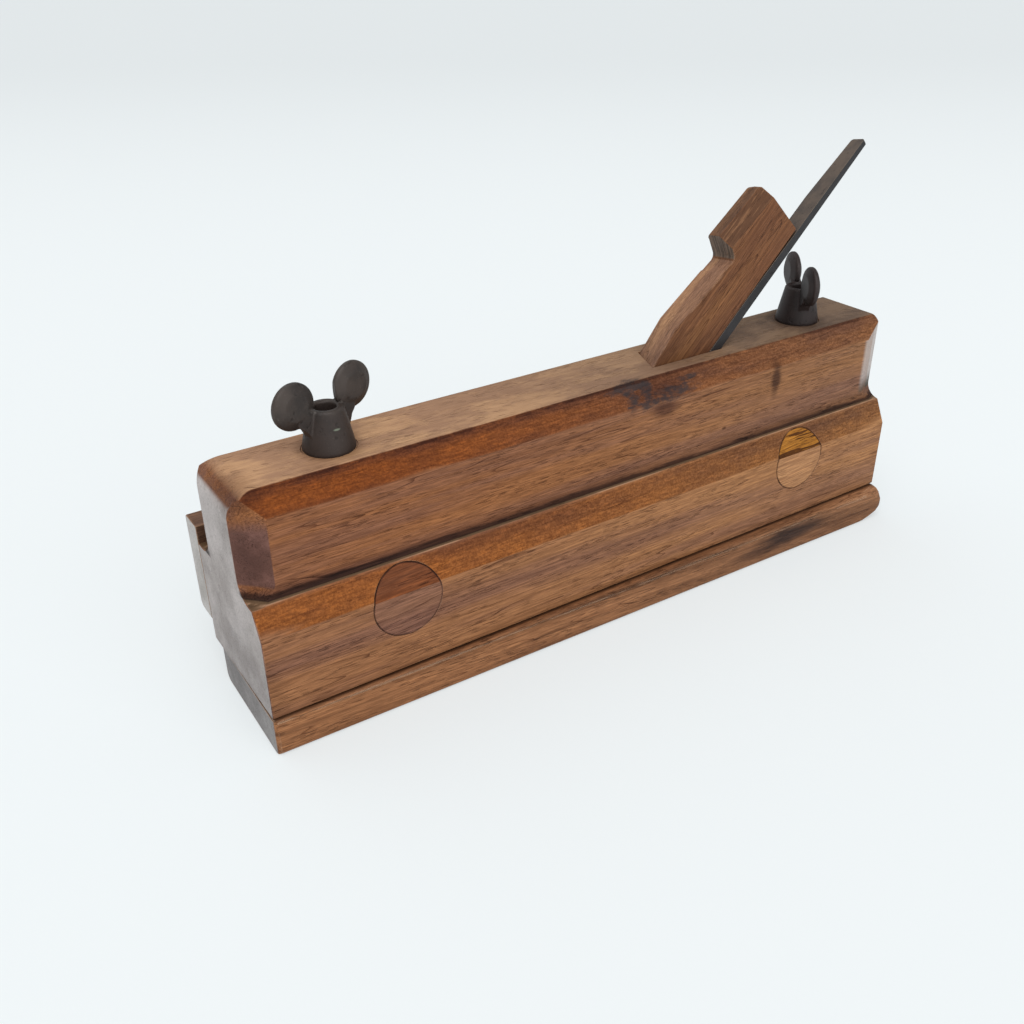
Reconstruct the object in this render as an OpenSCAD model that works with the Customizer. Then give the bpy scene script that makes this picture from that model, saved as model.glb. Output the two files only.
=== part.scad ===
// Moving fillister plane: wooden stock, sliding fence under the sole, wooden depth stop on the far side.
// X runs along the plane with the toe at -X. The near side is -Y. Z is up from the fence's underside.
// The two clamp bolts stand on the plane's centre line, where Y is 0.

/* [Stock] */
// Length of the stock from toe to heel
stock_l = 240; // [210:1:270]
// Width of the lower block, near face to far face
stock_w = 45; // [43:0.5:52]
// Height of the stock from sole to top
stock_h = 63.5; // [58:0.5:72]
// Distance from the centre line to the near face
near_half = 23; // [22:0.5:25]
// Width of the narrower upper block
waist_w = 35.6; // [32:0.2:37]
// Height of the shoulder above the sole
ledge_h = 33.2; // [30:0.2:36]
// Radius of the hollow between upper block and shoulder
cove_r = 2.3; // [1.5:0.1:3]
// Width and height of the long chamfers along the top
top_chamfer = 6.3; // [4:0.1:8]
// How far the near facet leans in at the shoulder
facet_in = 4; // [3:0.1:4.5]
// Height of the near facet below the shoulder
facet_h = 8.2; // [6:0.1:10]
// Radius of the rounded top edge at the toe
toe_round = 7.5; // [3:0.5:9]
// Radius of the rounded top edge at the heel
heel_round = 1.8; // [1:0.2:5]
// Size of the upright chamfer at the near toe corner
toe_chamfer = 7.8; // [5:0.2:9]
// Size of the upright chamfer at the far toe corner
toe_far_chamfer = 5.7; // [4:0.1:8]
// Length of the upright chamfers at the heel, along the plane
heel_chamfer_l = 9; // [6:0.5:12]
// Depth of the upright chamfers at the heel, across the plane
heel_chamfer_d = 4; // [3:0.1:6]
// Radius in which the upright chamfers run out on the shoulder
runout_r = 5; // [3:0.2:7]

/* [Iron and wedge] */
// Slope of the bed that the iron lies on, degrees above the sole
bed_angle = 45.5; // [43:0.5:52]
// Skew of the iron across the plane, degrees
skew = 20; // [10:1:25]
// Where the iron's face leaves the top of the stock, at its near edge
bed_x = 46.3; // [40:0.1:52]
// Width of the wedge and of the mortise it fills
wedge_w = 12.5; // [11:0.1:14]
// Wedge thickness where it enters the stock at the toe side
wedge_t = 17; // [15:0.1:19]
// Taper of the wedge, degrees
wedge_taper = 7; // [5:0.5:9]
// Length of wedge that stands out of the stock along the iron
wedge_out = 48.4; // [44:0.1:54]
// Wedge thickness at the finger notch
grip_t = 15; // [13:0.1:16]
// Wedge thickness at the lower end of the head
head_t = 23; // [20:0.1:24]
// Distance from the stock's top to the notch along the iron
notch_s = 24.3; // [20:0.1:26]
// Radius of the hollow where the head rises from the grip
notch_r = 2.4; // [2:0.1:4]
// Depth of the wide chamfer on the head's near edge
head_chamfer = 4.1; // [2:0.1:4.5]
// How much lower the notch ends on the wedge's far side
saw_shift = 3; // [1:0.1:4]
// Thickness of the iron
iron_t = 3.6; // [3:0.1:4]
// Thickness of the iron at the end of its tang
tang_t = 2.1; // [1.6:0.1:3]
// Width of the iron's tang
tang_w = 8.2; // [6.5:0.1:9.5]
// Width of the tang at its top end
tang_end_w = 6.2; // [5:0.1:7]
// Length of tang that stands out of the stock
tang_out = 85.4; // [75:0.1:96]
// Length of the wide blade below the tang
blade_l = 40; // [34:0.5:44]
// Width of the mouth in front of the cutting edge
mouth_gap = 2.6; // [2:0.1:4]
// Radius of the throat that opens on the far side
throat_r = 14; // [12:0.5:16]

/* [Fence] */
// Height of the fence under the sole
fence_h = 12; // [11:0.5:14]
// Width of the fence
fence_w = 41.2; // [38:0.2:46]
// How far the fence's near face stands out past the stock at mid length
fence_out = 3; // [1:0.5:4]
// How far out of parallel the fence is set, degrees
fence_skew = 0.9; // [0:0.1:1.2]
// How far the fence closes over the sole from where it is set
fence_close = 3.5; // [2:0.5:3.5]
// How far the fence opens from where it is set
fence_open = 6; // [4:0.5:6]
// How far the fence stands out past the heel
fence_past = 2.4; // [0:0.1:3]
// Height of the fence's bolt pockets from its underside
pocket_h = 7; // [6.5:0.5:8]
// Depth of the trough in the fence that clears the cutting edge
trough_d = 2.6; // [2:0.1:3.5]

/* [Clamp bolts and wing nuts] */
// Distance of the front clamp bolt from the toe
front_bolt_in = 33.8; // [28:0.2:40]
// Distance of the rear clamp bolt from the heel
rear_bolt_in = 27.4; // [22:0.2:34]
// Diameter of the bolts
bolt_d = 6; // [5:0.5:7]
// Side of the square bolt heads
head_w = 9; // [8:0.5:10]
// Thickness of the bolt heads
bolt_head_t = 4; // [3:0.1:4]
// Length of the clamp washers along the plane
washer_l = 13.4; // [12:0.2:16]
// Width of the clamp washers across the plane
washer_w = 9; // [8:0.5:10]
// Thickness of the clamp washers
washer_t = 1.4; // [1:0.1:1.4]
// How far the bolts drop when the nuts are slackened
bolt_drop = 1; // [0.5:0.1:1]
// Diameter of the wing nuts at the base
nut_d = 14.6; // [13:0.2:16]
// Diameter of the wing nuts at the top rim
nut_top_d = 10.2; // [9.5:0.1:11.5]
// Height of the wing nut barrels
nut_h = 12.2; // [10:0.1:15]
// Depth of the dent that each nut has pressed in the wood
dent = 0.3; // [0.1:0.1:0.6]
// How far the bolt ends stay below the nuts' rims
bolt_short = 3.5; // [2:0.5:5]
// Distance of the ear centres from the bolt
ear_reach = 9.5; // [9.3:0.1:10.5]
// Height of the ear centres above the nut's base
ear_h = 14.8; // [13:0.1:17]
// Radius of the ears
ear_r = 6.5; // [5.5:0.1:7]
// Thickness of the ears
ear_t = 4; // [3.5:0.1:5.5]
// Twist of the front nut's bent ear, degrees
ear_twist = 8; // [0:0.5:12]
// Turn of the front nut from the plane's length, degrees
front_nut_turn = 10.8; // [0:0.1:360]
// Turn of the rear nut from the plane's length, degrees
rear_nut_turn = 61.6; // [0:0.1:360]

/* [Plugs] */
// Diameter of the plugged holes
plug_d = 21.4; // [18:0.2:22]
// Depth of the plugs
plug_l = 12; // [8:0.5:14]
// Height of the plugs above the sole
plug_h = 22; // [20:0.5:22]
// Distance of the plugs from the ends
plug_in = 43; // [42:0.5:48]

/* [Depth stop] */
// Thickness of the depth stop board
stop_t = 9.2; // [7:0.2:11]
// Height of the depth stop board
stop_h = 31.8; // [30:0.2:36]
// Height of the board's lower edge above the sole as it is set
stop_set = 6.8; // [6.8:0.1:9]
// How far the board can be raised from where it is set
stop_raise = 6; // [4:0.5:6]
// Distance of the stop screws from the ends
stop_screw_in = 62; // [58:1:68]
// Height of the stop screws above the sole
stop_screw_h = 23; // [22:0.5:23]
// Diameter of the stop screws
stop_screw_d = 4.6; // [4:0.2:5.2]
// Length of the stop screws under the head
stop_screw_l = 26; // [22:1:30]
// Width of the iron slot plates
plate_w = 13; // [12:0.5:16]
// Thickness of the iron slot plates
plate_t = 1.5; // [1:0.1:2]
// Length of the notch in the board beside the throat
bay_l = 46; // [40:1:60]
// Height of board left under the notch
bay_rail = 8; // [6:0.5:10]

/* [Nicker] */
// Distance of the nicker from mid length, toward the toe
nicker_x = 34; // [30:0.5:40]
// Width of the nicker along the plane
nicker_w = 8; // [6:0.5:9]
// Thickness of the nicker
nicker_t = 2.4; // [2:0.1:2.6]
// How far the nicker's point stands below the sole
nicker_point = 0.3; // [0:0.1:0.5]
// Height of the nicker above the shoulder
nicker_out = 9; // [5:0.5:12]
// Width of the nicker's wedge at the shoulder
nicker_wedge_w = 5; // [4:0.1:6]

/* [Hidden] */
$fn = 64;

// Clearances: a working fit, a free fit, and a hairline between faces that stay together
fit = 0.05;
free_fit = 0.3;
hairline = 0.02;
// A cutter's overrun past the face that it opens, and a size past the whole plane
over = 1;
far_out = 400;

// Levels and planes of the stock
sole_z = fence_h + hairline;
top_z = sole_z + stock_h;
ledge_z = sole_z + ledge_h;
toe_x = -stock_l / 2;
heel_x = stock_l / 2;
front_bolt_x = toe_x + front_bolt_in;
rear_bolt_x = heel_x - rear_bolt_in;
plug_x = heel_x - plug_in;
stop_screw_x = heel_x - stop_screw_in;
near_y = -near_half;
far_y = stock_w - near_half;
waist = waist_w / 2;

// Wedge and iron: s runs up the bed from the stock's top, t runs square off the iron's face
wedge_near = -wedge_w / 2;
wedge_far = wedge_w / 2;
sole_s = -stock_h / sin(bed_angle);
bed_t = -iron_t - fit;
front_s = -wedge_t * cos(bed_angle) / sin(bed_angle);
head_lean = 5.4;
blade_top_s = sole_s + blade_l;
mouth_wall = [
    [sole_s + 8, mouth_gap + 7], [sole_s + 1, mouth_gap], [sole_s - 6, mouth_gap - 3], [sole_s - 6, bed_t]
];
blade_far = far_y - fit;
iron_lift = 4;

// The fence lies under the sole and is swung by its skew about its own centre
fence_near = near_y - fence_out;
fence_mid = fence_near + fence_w / 2;
slot_w = bolt_d + 2 * free_fit;
pocket_l = washer_l + 2 * free_fit;
fence_heel = heel_x + fence_past;
fence_edge = 1.2;
fence_far_round = 3;
fence_heel_round = 3.5;
fence_top_round = 4.5;
fence_foot_round = 4;
fence_toe_round = 1.5;

// Clamp bolts and nuts
nut_z = top_z - dent;
bolt_top = nut_z + nut_h - bolt_short;
ear_shift = 0.6;
ear_lift = 0.9;
washer_z = pocket_h - fit - washer_t;
head_z = washer_z - bolt_head_t;

// Depth stop
stop_z = sole_z + stop_set;
stop_y = far_y + fit;
stop_out = stop_y + stop_t;
stop_screw_z = sole_z + stop_screw_h;
stop_slot_w = stop_screw_d + 2 * free_fit;
stop_slot_low = stop_screw_z - stop_raise;
stop_slot_high = stop_screw_z + stop_set;
plate_edge = 7;
plate_z = stop_slot_low - plate_edge;
plate_h = stop_slot_high + plate_edge - plate_z;
screw_head_d = 9.5;
screw_head_h = 3;
pin_d = 1.8;
pin_head_d = 3.2;
pin_l = 6;

// Nicker: a steel cutter in a groove in the far side, held by a small wedge on its toe side
nicker_back = -nicker_x + nicker_w / 2;
nicker_front = -nicker_x - nicker_w / 2;
nicker_in = far_y - nicker_t;
nicker_slope = 0.045;
nicker_wedge_low = sole_z + 7;

wood_stock = "Sienna";
wood_fence = "Peru";
wood_light = "Goldenrod";
wood_dark = "RosyBrown";
metal_dark = "DimGray";
metal_rust = "SlateGray";

// Shared shapes

// Draws its 2D child, laid in X and Z, and extrudes it across the plane from y0 to y1
module across(y0, y1) {
    translate([0, y1, 0]) rotate([90, 0, 0]) linear_extrude(y1 - y0) children();
}

// Draws its 2D child, laid in Y and Z, and extrudes it along the plane from x0 to x1
module along(x0, x1) {
    translate([x0, 0, 0]) rotate([90, 0, 90]) linear_extrude(x1 - x0) children();
}

// The waste outside a rounded corner at the origin, with the solid towards +X and +Y
module corner_waste(r) {
    difference() {
        translate([-over, -over]) square(r + over);
        translate([r, r]) circle(r);
    }
}

// A point of the bed's own grid, as X and Z of a plane that runs square through the plane's side
function bed_point(s, t) = [
    bed_x + s * cos(bed_angle) - t * sin(bed_angle),
    top_z + s * sin(bed_angle) + t * cos(bed_angle)
];

// The same point on a section that is taken square to the skewed bed
function skew_point(p) = let (point = bed_point(p[0], p[1])) [(point[0] - bed_x) * cos(skew), point[1]];

// A prism on the skewed bed with its outline in s and t, sawn off square at y0 and y1
module on_bed(outline, y0, y1) {
    intersection() {
        translate([bed_x, wedge_near, 0]) rotate([0, 0, -skew]) across(-far_out, far_out)
            polygon([for (p = outline) skew_point(p)]);
        translate([-far_out, y0, -far_out]) cube([2 * far_out, y1 - y0, 2 * far_out]);
    }
}

// A prism with its outline in s and t, but sawn straight across the plane
module square_on_bed(outline, y0, y1) {
    across(y0, y1) polygon([for (p = outline) bed_point(p[0], p[1])]);
}

// Thickness of the wedge at a distance s up the bed, and of its head
function wedge_front(s) = wedge_t + (s - front_s) * tan(wedge_taper);
function head_front(s) = head_t - (s - notch_s) * tan(head_lean);

// Stock

// Section of the stock across the plane
module stock_section() {
    difference() {
        union() {
            translate([near_y, sole_z]) square([stock_w, ledge_h]);
            polygon([
                [-waist, ledge_z - over], [waist, ledge_z - over], [waist, top_z - top_chamfer],
                [waist - top_chamfer, top_z], [top_chamfer - waist, top_z], [-waist, top_z - top_chamfer]
            ]);
            for (side = [-1, 1]) difference() {
                translate([side * (waist + cove_r / 2), ledge_z + cove_r / 2]) square(cove_r, center = true);
                translate([side * (waist + cove_r), ledge_z + cove_r]) circle(cove_r);
            }
        }
        near_facet_waste();
    }
}

// The waste outside the near facet, which leans in from the near face up to the shoulder
module near_facet_waste() {
    lean = facet_in / facet_h;
    low = ledge_z - facet_h;
    high = ledge_z + cove_r;
    polygon([
        [near_y - over, low - over / lean], [near_y - over, high],
        [near_y + lean * (high - low), high]
    ]);
}

// An upright chamfer with its face through two points of the plan, run out in a hollow on the shoulder
module upright_chamfer(from, to) {
    run = to - from;
    turn = atan2(run[1], run[0]);
    translate([from[0], from[1], ledge_z]) rotate([0, 0, turn]) along(-far_out / 8, far_out / 8)
        mirror([1, 0]) union() {
            translate([0, runout_r]) square(stock_h);
            translate([runout_r, 0]) square(stock_h);
            translate([runout_r, runout_r]) circle(runout_r);
        }
}

// The four upright chamfers of the upper block
module stock_chamfers() {
    upright_chamfer([toe_x, toe_chamfer - waist], [toe_x + toe_chamfer, -waist]);
    upright_chamfer([heel_x - heel_chamfer_l, -waist], [heel_x, heel_chamfer_d - waist]);
    upright_chamfer([heel_x, waist - heel_chamfer_d], [heel_x - heel_chamfer_l, waist]);
    upright_chamfer([toe_x + toe_far_chamfer, waist], [toe_x, waist - toe_far_chamfer]);
}

// The mortise for wedge and iron, from the top down to the mouth
module mortise() {
    high_s = 12;
    low_s = sole_s + 31;
    on_bed(concat([
        [high_s, bed_t], [high_s, wedge_front(high_s) + free_fit], [low_s, wedge_front(low_s) + free_fit]
    ], mouth_wall), wedge_near - fit, wedge_far + fit);
}

// The throat: the blade's bed and the way for the shavings, open on the far side
module throat() {
    top_s = blade_top_s + iron_lift + free_fit;
    step_t = 2;
    swell = 1;
    narrowing = 6;
    eye = bed_point(blade_top_s, throat_r - step_t);
    on_bed(concat([
        [top_s, bed_t], [top_s, step_t], [blade_top_s - iron_lift, throat_r],
        [sole_s + throat_r, throat_r - swell]
    ], mouth_wall), wedge_near - fit, far_y + over);
    translate([eye[0] + far_y * tan(skew) / 2, 0, eye[1]]) rotate([-90, 0, 0])
        cylinder(h = far_y + over, r1 = throat_r - narrowing, r2 = throat_r);
}

module stock() {
    color(wood_stock) difference() {
        along(toe_x, heel_x) stock_section();
        across(-stock_w, stock_w) translate([toe_x, top_z]) mirror([0, 1]) corner_waste(toe_round);
        across(-stock_w, stock_w) translate([heel_x, top_z]) mirror([1, 0]) mirror([0, 1])
            corner_waste(heel_round);
        stock_chamfers();
        mortise();
        throat();
        for (x = [front_bolt_x, rear_bolt_x]) {
            translate([x, 0, 0]) cylinder(h = far_out, d = slot_w);
            translate([x, 0, nut_z]) cylinder(h = far_out, d = nut_d + 2 * free_fit);
        }
        for (x = [-plug_x, plug_x]) plug_body(x, plug_d, plug_l);
        for (x = [-stop_screw_x, stop_screw_x]) stop_screw_hole(x);
        nicker_groove();
    }
}

// A round body let into the near face
module plug_body(x, d, l) {
    translate([x, near_y - over, sole_z + plug_h]) rotate([-90, 0, 0]) cylinder(h = l + over, d = d);
}

// The plugs are planed off flush with the near face and the facet
module plug(x) {
    intersection() {
        plug_body(x, plug_d - 2 * hairline, plug_l - hairline);
        along(toe_x, heel_x) stock_section();
    }
}

module front_plug() { color(wood_dark) plug(-plug_x); }
module rear_plug() { color(wood_light) plug(plug_x); }

// Fence

// Moves its child from the fence's own frame to where the fence is set
module set_fence() {
    translate([0, fence_mid, 0]) rotate([0, 0, -fence_skew]) children();
}

// Where a bolt at x stands in the fence's own frame
function in_fence(x) = [
    x * cos(fence_skew) + fence_mid * sin(fence_skew),
    x * sin(fence_skew) - fence_mid * cos(fence_skew)
];

// Section of the fence with its worn edges
module fence_section() {
    half = fence_w / 2;
    difference() {
        translate([-half, 0]) square([fence_w, fence_h]);
        translate([-half, 0]) corner_waste(fence_edge);
        translate([-half, fence_h]) mirror([0, 1]) corner_waste(fence_edge);
        translate([half, 0]) mirror([1, 0]) corner_waste(fence_far_round);
    }
}

// A slot across the fence for a bolt at x, with its ends at the limits of the fence's travel
module fence_slot(x) {
    bolt = in_fence(x);
    y0 = bolt[1] - fence_close - free_fit;
    y1 = bolt[1] + fence_open + free_fit;
    translate([bolt[0], y0, -over]) cylinder(h = fence_h + 2 * over, d = slot_w);
    translate([bolt[0], y1, -over]) cylinder(h = fence_h + 2 * over, d = slot_w);
    translate([bolt[0] - slot_w / 2, y0, -over]) cube([slot_w, y1 - y0, fence_h + 2 * over]);
    pocket_y0 = bolt[1] - fence_close - washer_w / 2 - free_fit;
    pocket_y1 = bolt[1] + fence_open + washer_w / 2 + free_fit;
    translate([bolt[0] - pocket_l / 2, pocket_y0, -over])
        cube([pocket_l, pocket_y1 - pocket_y0, pocket_h + over]);
}

// The trough that keeps the cutting edge clear of the fence wherever the fence is set
module fence_trough() {
    edge = bed_point(sole_s, 0);
    clear_x = 4;
    clear_y = 2;
    reach = (fence_open + fence_close) * tan(skew) + iron_t + 2 * clear_x;
    x0 = edge[0] - reach / 2 - mouth_gap;
    y0 = wedge_near - fence_mid - fence_close - clear_y;
    depth_z = fence_h - trough_d;
    length = reach + (far_y - wedge_near) * tan(skew);
    translate([x0, y0, depth_z]) cube([length, fence_w, trough_d + over]);
}

module fence() {
    color(wood_fence) set_fence() difference() {
        along(toe_x, fence_heel) fence_section();
        translate([fence_heel, -fence_w / 2, -over]) mirror([1, 0, 0])
            linear_extrude(fence_h + 2 * over) corner_waste(fence_heel_round);
        translate([toe_x, -fence_w / 2, -over])
            linear_extrude(fence_h + 2 * over) corner_waste(fence_toe_round);
        across(-fence_w, fence_w) translate([fence_heel, fence_h]) mirror([1, 0]) mirror([0, 1])
            corner_waste(fence_top_round);
        across(-fence_w, fence_w) translate([fence_heel, 0]) mirror([1, 0]) corner_waste(fence_foot_round);
        fence_slot(front_bolt_x);
        fence_slot(rear_bolt_x);
        fence_trough();
    }
}

// Clamp bolts, washers and wing nuts

// A square-headed bolt that comes up through fence and stock into its nut
module bolt(x) {
    tip = 0.8;
    color(metal_dark) translate([x, 0, 0]) {
        translate([-head_w / 2, -head_w / 2, head_z]) cube([head_w, head_w, bolt_head_t]);
        translate([0, 0, head_z + bolt_head_t / 2])
            cylinder(h = bolt_top - tip - head_z - bolt_head_t / 2, d = bolt_d);
        translate([0, 0, bolt_top - tip]) cylinder(h = tip, d1 = bolt_d, d2 = bolt_d - 2 * tip);
    }
}

// An oblong washer that spreads the bolt head's pull over the fence
module clamp_washer(x) {
    color(metal_rust) translate([x, 0, washer_z]) difference() {
        translate([-washer_l / 2, -washer_w / 2, 0]) cube([washer_l, washer_w, washer_t]);
        translate([0, 0, -over]) cylinder(h = washer_t + 2 * over, d = bolt_d + 2 * fit);
    }
}

// A round flat ear with a broad bevel, and the web that carries it, on the side that x points to
module ear(reach, height, twist) {
    bevel = 2.8;
    edge = 1;
    web_t = ear_t - 0.4;
    web_low = 5.2;
    web_out = 7.4;
    web_in = bolt_d / 2 + 0.8;
    web_z = height - ear_r;
    translate([reach, 0, height]) rotate([90, 0, twist]) rotate_extrude() polygon([
        [0, -ear_t / 2], [ear_r - bevel, -ear_t / 2], [ear_r - edge / 2, -edge], [ear_r, -edge / 2],
        [ear_r, edge / 2], [ear_r - edge / 2, edge], [ear_r - bevel, ear_t / 2], [0, ear_t / 2]
    ]);
    translate([0, web_t / 2, 0]) rotate([90, 0, 0]) linear_extrude(web_t) polygon([
        [web_in, web_low], [nut_d / 2 - edge, web_low], [web_out, web_z - edge],
        [reach - edge / 2, web_z + edge / 2], [reach, height], [web_in, nut_h]
    ]);
}

// A wing nut. One ear may be bent toward the bolt, lifted and twisted, and the other twisted half as much
module wing_nut(x, turn, bend, lift, twist) {
    rim = 0.5;
    base = 0.8;
    color(metal_dark) translate([x, 0, nut_z]) rotate([0, 0, turn]) difference() {
        union() {
            cylinder(h = base, d = nut_d);
            translate([0, 0, base]) cylinder(h = nut_h - base - rim, d1 = nut_d, d2 = nut_top_d);
            translate([0, 0, nut_h - rim]) cylinder(h = rim, d1 = nut_top_d, d2 = nut_top_d - 2 * rim);
            ear(ear_reach - bend, ear_h + lift, twist);
            rotate([0, 0, 180]) ear(ear_reach + bend / 2, ear_h, twist / 2);
        }
        translate([0, 0, -over]) cylinder(h = far_out, d = bolt_d + 2 * fit);
        translate([0, 0, nut_h - rim]) cylinder(h = 2 * rim, d1 = bolt_d, d2 = bolt_d + 4 * rim);
    }
}

module front_bolt() { bolt(front_bolt_x); }
module rear_bolt() { bolt(rear_bolt_x); }
module front_clamp_washer() { clamp_washer(front_bolt_x); }
module rear_clamp_washer() { clamp_washer(rear_bolt_x); }
module front_wing_nut() { wing_nut(front_bolt_x, front_nut_turn, ear_shift, ear_lift, ear_twist); }
module rear_wing_nut() { wing_nut(rear_bolt_x, rear_nut_turn, 0, 0, 0); }

// Iron and wedge

// A prism that stands square on the bed, with its outline in s and Y
module bed_plan(outline) {
    translate([bed_x, 0, top_z]) rotate([0, -bed_angle, 0]) translate([0, 0, -far_out / 4])
        linear_extrude(far_out / 2) polygon(outline);
}

// The iron: a wide blade with a ground bevel, sloping shoulders and a narrow tang
module iron() {
    near = wedge_near + fit;
    tang_far = wedge_near + tang_w;
    tang_tip = wedge_near + tang_end_w;
    taper_s = 62;
    grind = 2.6;
    shoulder = 5;
    clip = 0.7;
    thin_from = 20;
    color(metal_rust) intersection() {
        on_bed([
            [sole_s, 0], [thin_from, 0], [tang_out, tang_t - iron_t], [tang_out, -iron_t],
            [sole_s + grind, -iron_t]
        ], near - over, blade_far + over);
        bed_plan([
            [sole_s - blade_l, near], [tang_out - clip, near], [tang_out, near + clip],
            [tang_out, tang_tip - clip], [tang_out - clip, tang_tip], [taper_s, tang_far],
            [blade_top_s, tang_far], [blade_top_s - shoulder, blade_far], [sole_s - blade_l, blade_far]
        ]);
    }
}

// The wedge: tapered in the mortise, narrower above it for the fingers, with a raised head
module wedge() {
    near = wedge_near + fit;
    far = wedge_far - fit;
    bend_s = -4;
    tip_s = sole_s + 14;
    tip_t = 2;
    mid_s = -44;
    head_s = notch_s - saw_shift;
    grip_fall = (wedge_front(bend_s) - grip_t) / (notch_s - bend_s);
    color(wood_fence) difference() {
        on_bed([
            [tip_s, fit], [wedge_out, fit], [wedge_out, head_front(wedge_out)], [head_s, head_front(head_s)],
            [head_s, grip_t + saw_shift * grip_fall], [bend_s, wedge_front(bend_s)],
            [mid_s, wedge_front(mid_s)], [tip_s, tip_t]
        ], near, far);
        notch_waste(near, far, grip_fall);
        head_waste(near, far);
    }
}

// The hollow under the head, sawn a little lower on the far side
module notch_waste(near, far, grip_fall) {
    foot = bed_point(notch_s, grip_t);
    centre = bed_point(notch_s, grip_t + notch_r);
    turn = atan(tan(skew) - saw_shift * cos(bed_angle) / wedge_w);
    tilt = atan(saw_shift * sin(bed_angle) / wedge_w);
    wall_lean = 20;
    wall_s = notch_s + notch_r * cos(wall_lean);
    wall_t = grip_t + notch_r - notch_r * sin(wall_lean);
    back_s = notch_s - 1.5 * saw_shift;
    translate([foot[0], near, foot[1]]) rotate([-tilt, 0, -turn])
        translate([-foot[0], -near, -foot[1]]) union() {
            translate([centre[0], near - wedge_w / 2, centre[1]]) rotate([-90, 0, 0])
                cylinder(h = 2 * wedge_w, r = notch_r);
            square_on_bed([
                [back_s, grip_t + (notch_s - back_s) * grip_fall - hairline], [notch_s, grip_t],
                [notch_s, grip_t + notch_r], [wall_s, wall_t],
                [wall_s + head_t * sin(wall_lean), wall_t + head_t * cos(wall_lean)],
                [back_s, wall_t + head_t]
            ], near - wedge_w / 2, far + wedge_w / 2);
        }
}

// Puts its child on the head's edge: X runs up the wedge, Z stands off the head's front
module on_head(s, y) {
    edge = bed_point(s, head_front(s));
    translate([edge[0] + (y - wedge_near) * tan(skew), y, edge[1]])
        rotate([0, head_lean - bed_angle, 0]) children();
}

// The wide chamfer along the near edge, the eased far edge and the knocked corner at the end
module head_waste(near, far) {
    size = 2 * head_t;
    chamfer_rise = 27;
    on_head(notch_s, near) translate([0, 0, -head_chamfer]) rotate([chamfer_rise, 0, 0])
        translate([-size / 2, -size / 2, 0]) cube([2 * size, size, size]);
    eased = 0.6;
    on_head(notch_s, far) rotate([45, 0, 0]) translate([-size / 2, -eased, -eased / sqrt(2)])
        cube([2 * size, 2 * eased, 2 * eased]);
    knock_y = -2.3;
    knock_turn = 5.4;
    knock_tilt = 12.7;
    top = bed_point(wedge_out, head_front(wedge_out));
    translate([top[0] + (knock_y - wedge_near) * tan(skew), knock_y, top[1]])
        rotate([-knock_tilt, 0, -knock_turn]) translate([-size / 2, -size / 2, 0]) cube(size);
}

// Depth stop

// Section of the board, with its lower outer edge and upper edges eased
module stop_section() {
    difference() {
        translate([stop_y, stop_z]) square([stop_t, stop_h]);
        translate([stop_out, stop_z]) mirror([1, 0]) corner_waste(2.5);
        translate([stop_out, stop_z + stop_h]) mirror([1, 0]) mirror([0, 1]) corner_waste(1.2);
    }
}

// A slot upright through the board for a screw at x
module stop_slot(x, w) {
    for (z = [stop_slot_low - free_fit, stop_slot_high + free_fit])
        translate([x, 0, z]) rotate([-90, 0, 0]) cylinder(h = far_out, d = w);
    translate([x - w / 2, 0, stop_slot_low - free_fit])
        cube([w, far_out, stop_slot_high - stop_slot_low + 2 * free_fit]);
}

// The notch that lets the shavings out over the board
module stop_bay() {
    r = 8;
    throat_x = bed_point(blade_top_s, 0)[0] - throat_r / 2;
    x0 = throat_x - bay_l / 2;
    z0 = stop_z + bay_rail;
    across(0, far_out) union() {
        translate([x0 + r, z0]) square([bay_l - 2 * r, stop_h]);
        translate([x0, z0 + r]) square([bay_l, stop_h]);
        translate([x0 + r, z0 + r]) circle(r);
        translate([x0 + bay_l - r, z0 + r]) circle(r);
    }
}

module depth_stop() {
    color(wood_fence) difference() {
        along(toe_x, heel_x) stop_section();
        for (x = [-stop_screw_x, stop_screw_x]) {
            stop_slot(x, stop_slot_w);
            translate([x - plate_w / 2 - hairline, stop_out - plate_t, plate_z - hairline])
                cube([plate_w + 2 * hairline, plate_t + over, plate_h + 2 * hairline]);
            plate_pin_places(x) pin_hole();
        }
        stop_bay();
    }
}

// An iron plate let into the board's face round the slot
module slot_plate(x) {
    color(metal_rust) difference() {
        translate([x - plate_w / 2, stop_out - plate_t + hairline, plate_z])
            cube([plate_w, plate_t - hairline, plate_h]);
        stop_slot(x, stop_slot_w);
        plate_pin_places(x) pin_hole();
    }
}

// Puts its child at the two pins of a plate, pointing into the board
module plate_pin_places(x) {
    inset = 2.2;
    for (z = [plate_z + inset, plate_z + plate_h - inset])
        translate([x, stop_out, z]) rotate([90, 0, 0]) children();
}

module pin_hole() {
    translate([0, 0, -over]) cylinder(h = pin_l + over + hairline, d = pin_d + 2 * hairline);
    sink = (pin_head_d - pin_d) / 2;
    translate([0, 0, -hairline])
        cylinder(h = sink + hairline, d1 = pin_head_d + 4 * hairline, d2 = pin_d + 2 * hairline);
}

module plate_pins(x) {
    sink = (pin_head_d - pin_d) / 2;
    color(metal_rust) plate_pin_places(x) union() {
        cylinder(h = pin_l, d = pin_d);
        cylinder(h = sink, d1 = pin_head_d, d2 = pin_d);
    }
}

// The hole in the stock that a stop screw bites in
module stop_screw_hole(x) {
    reach = stop_screw_l - stop_t;
    translate([x, far_y - reach - over, stop_screw_z]) rotate([-90, 0, 0])
        cylinder(h = reach + 2 * over, d = stop_screw_d + 2 * fit);
}

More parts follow.
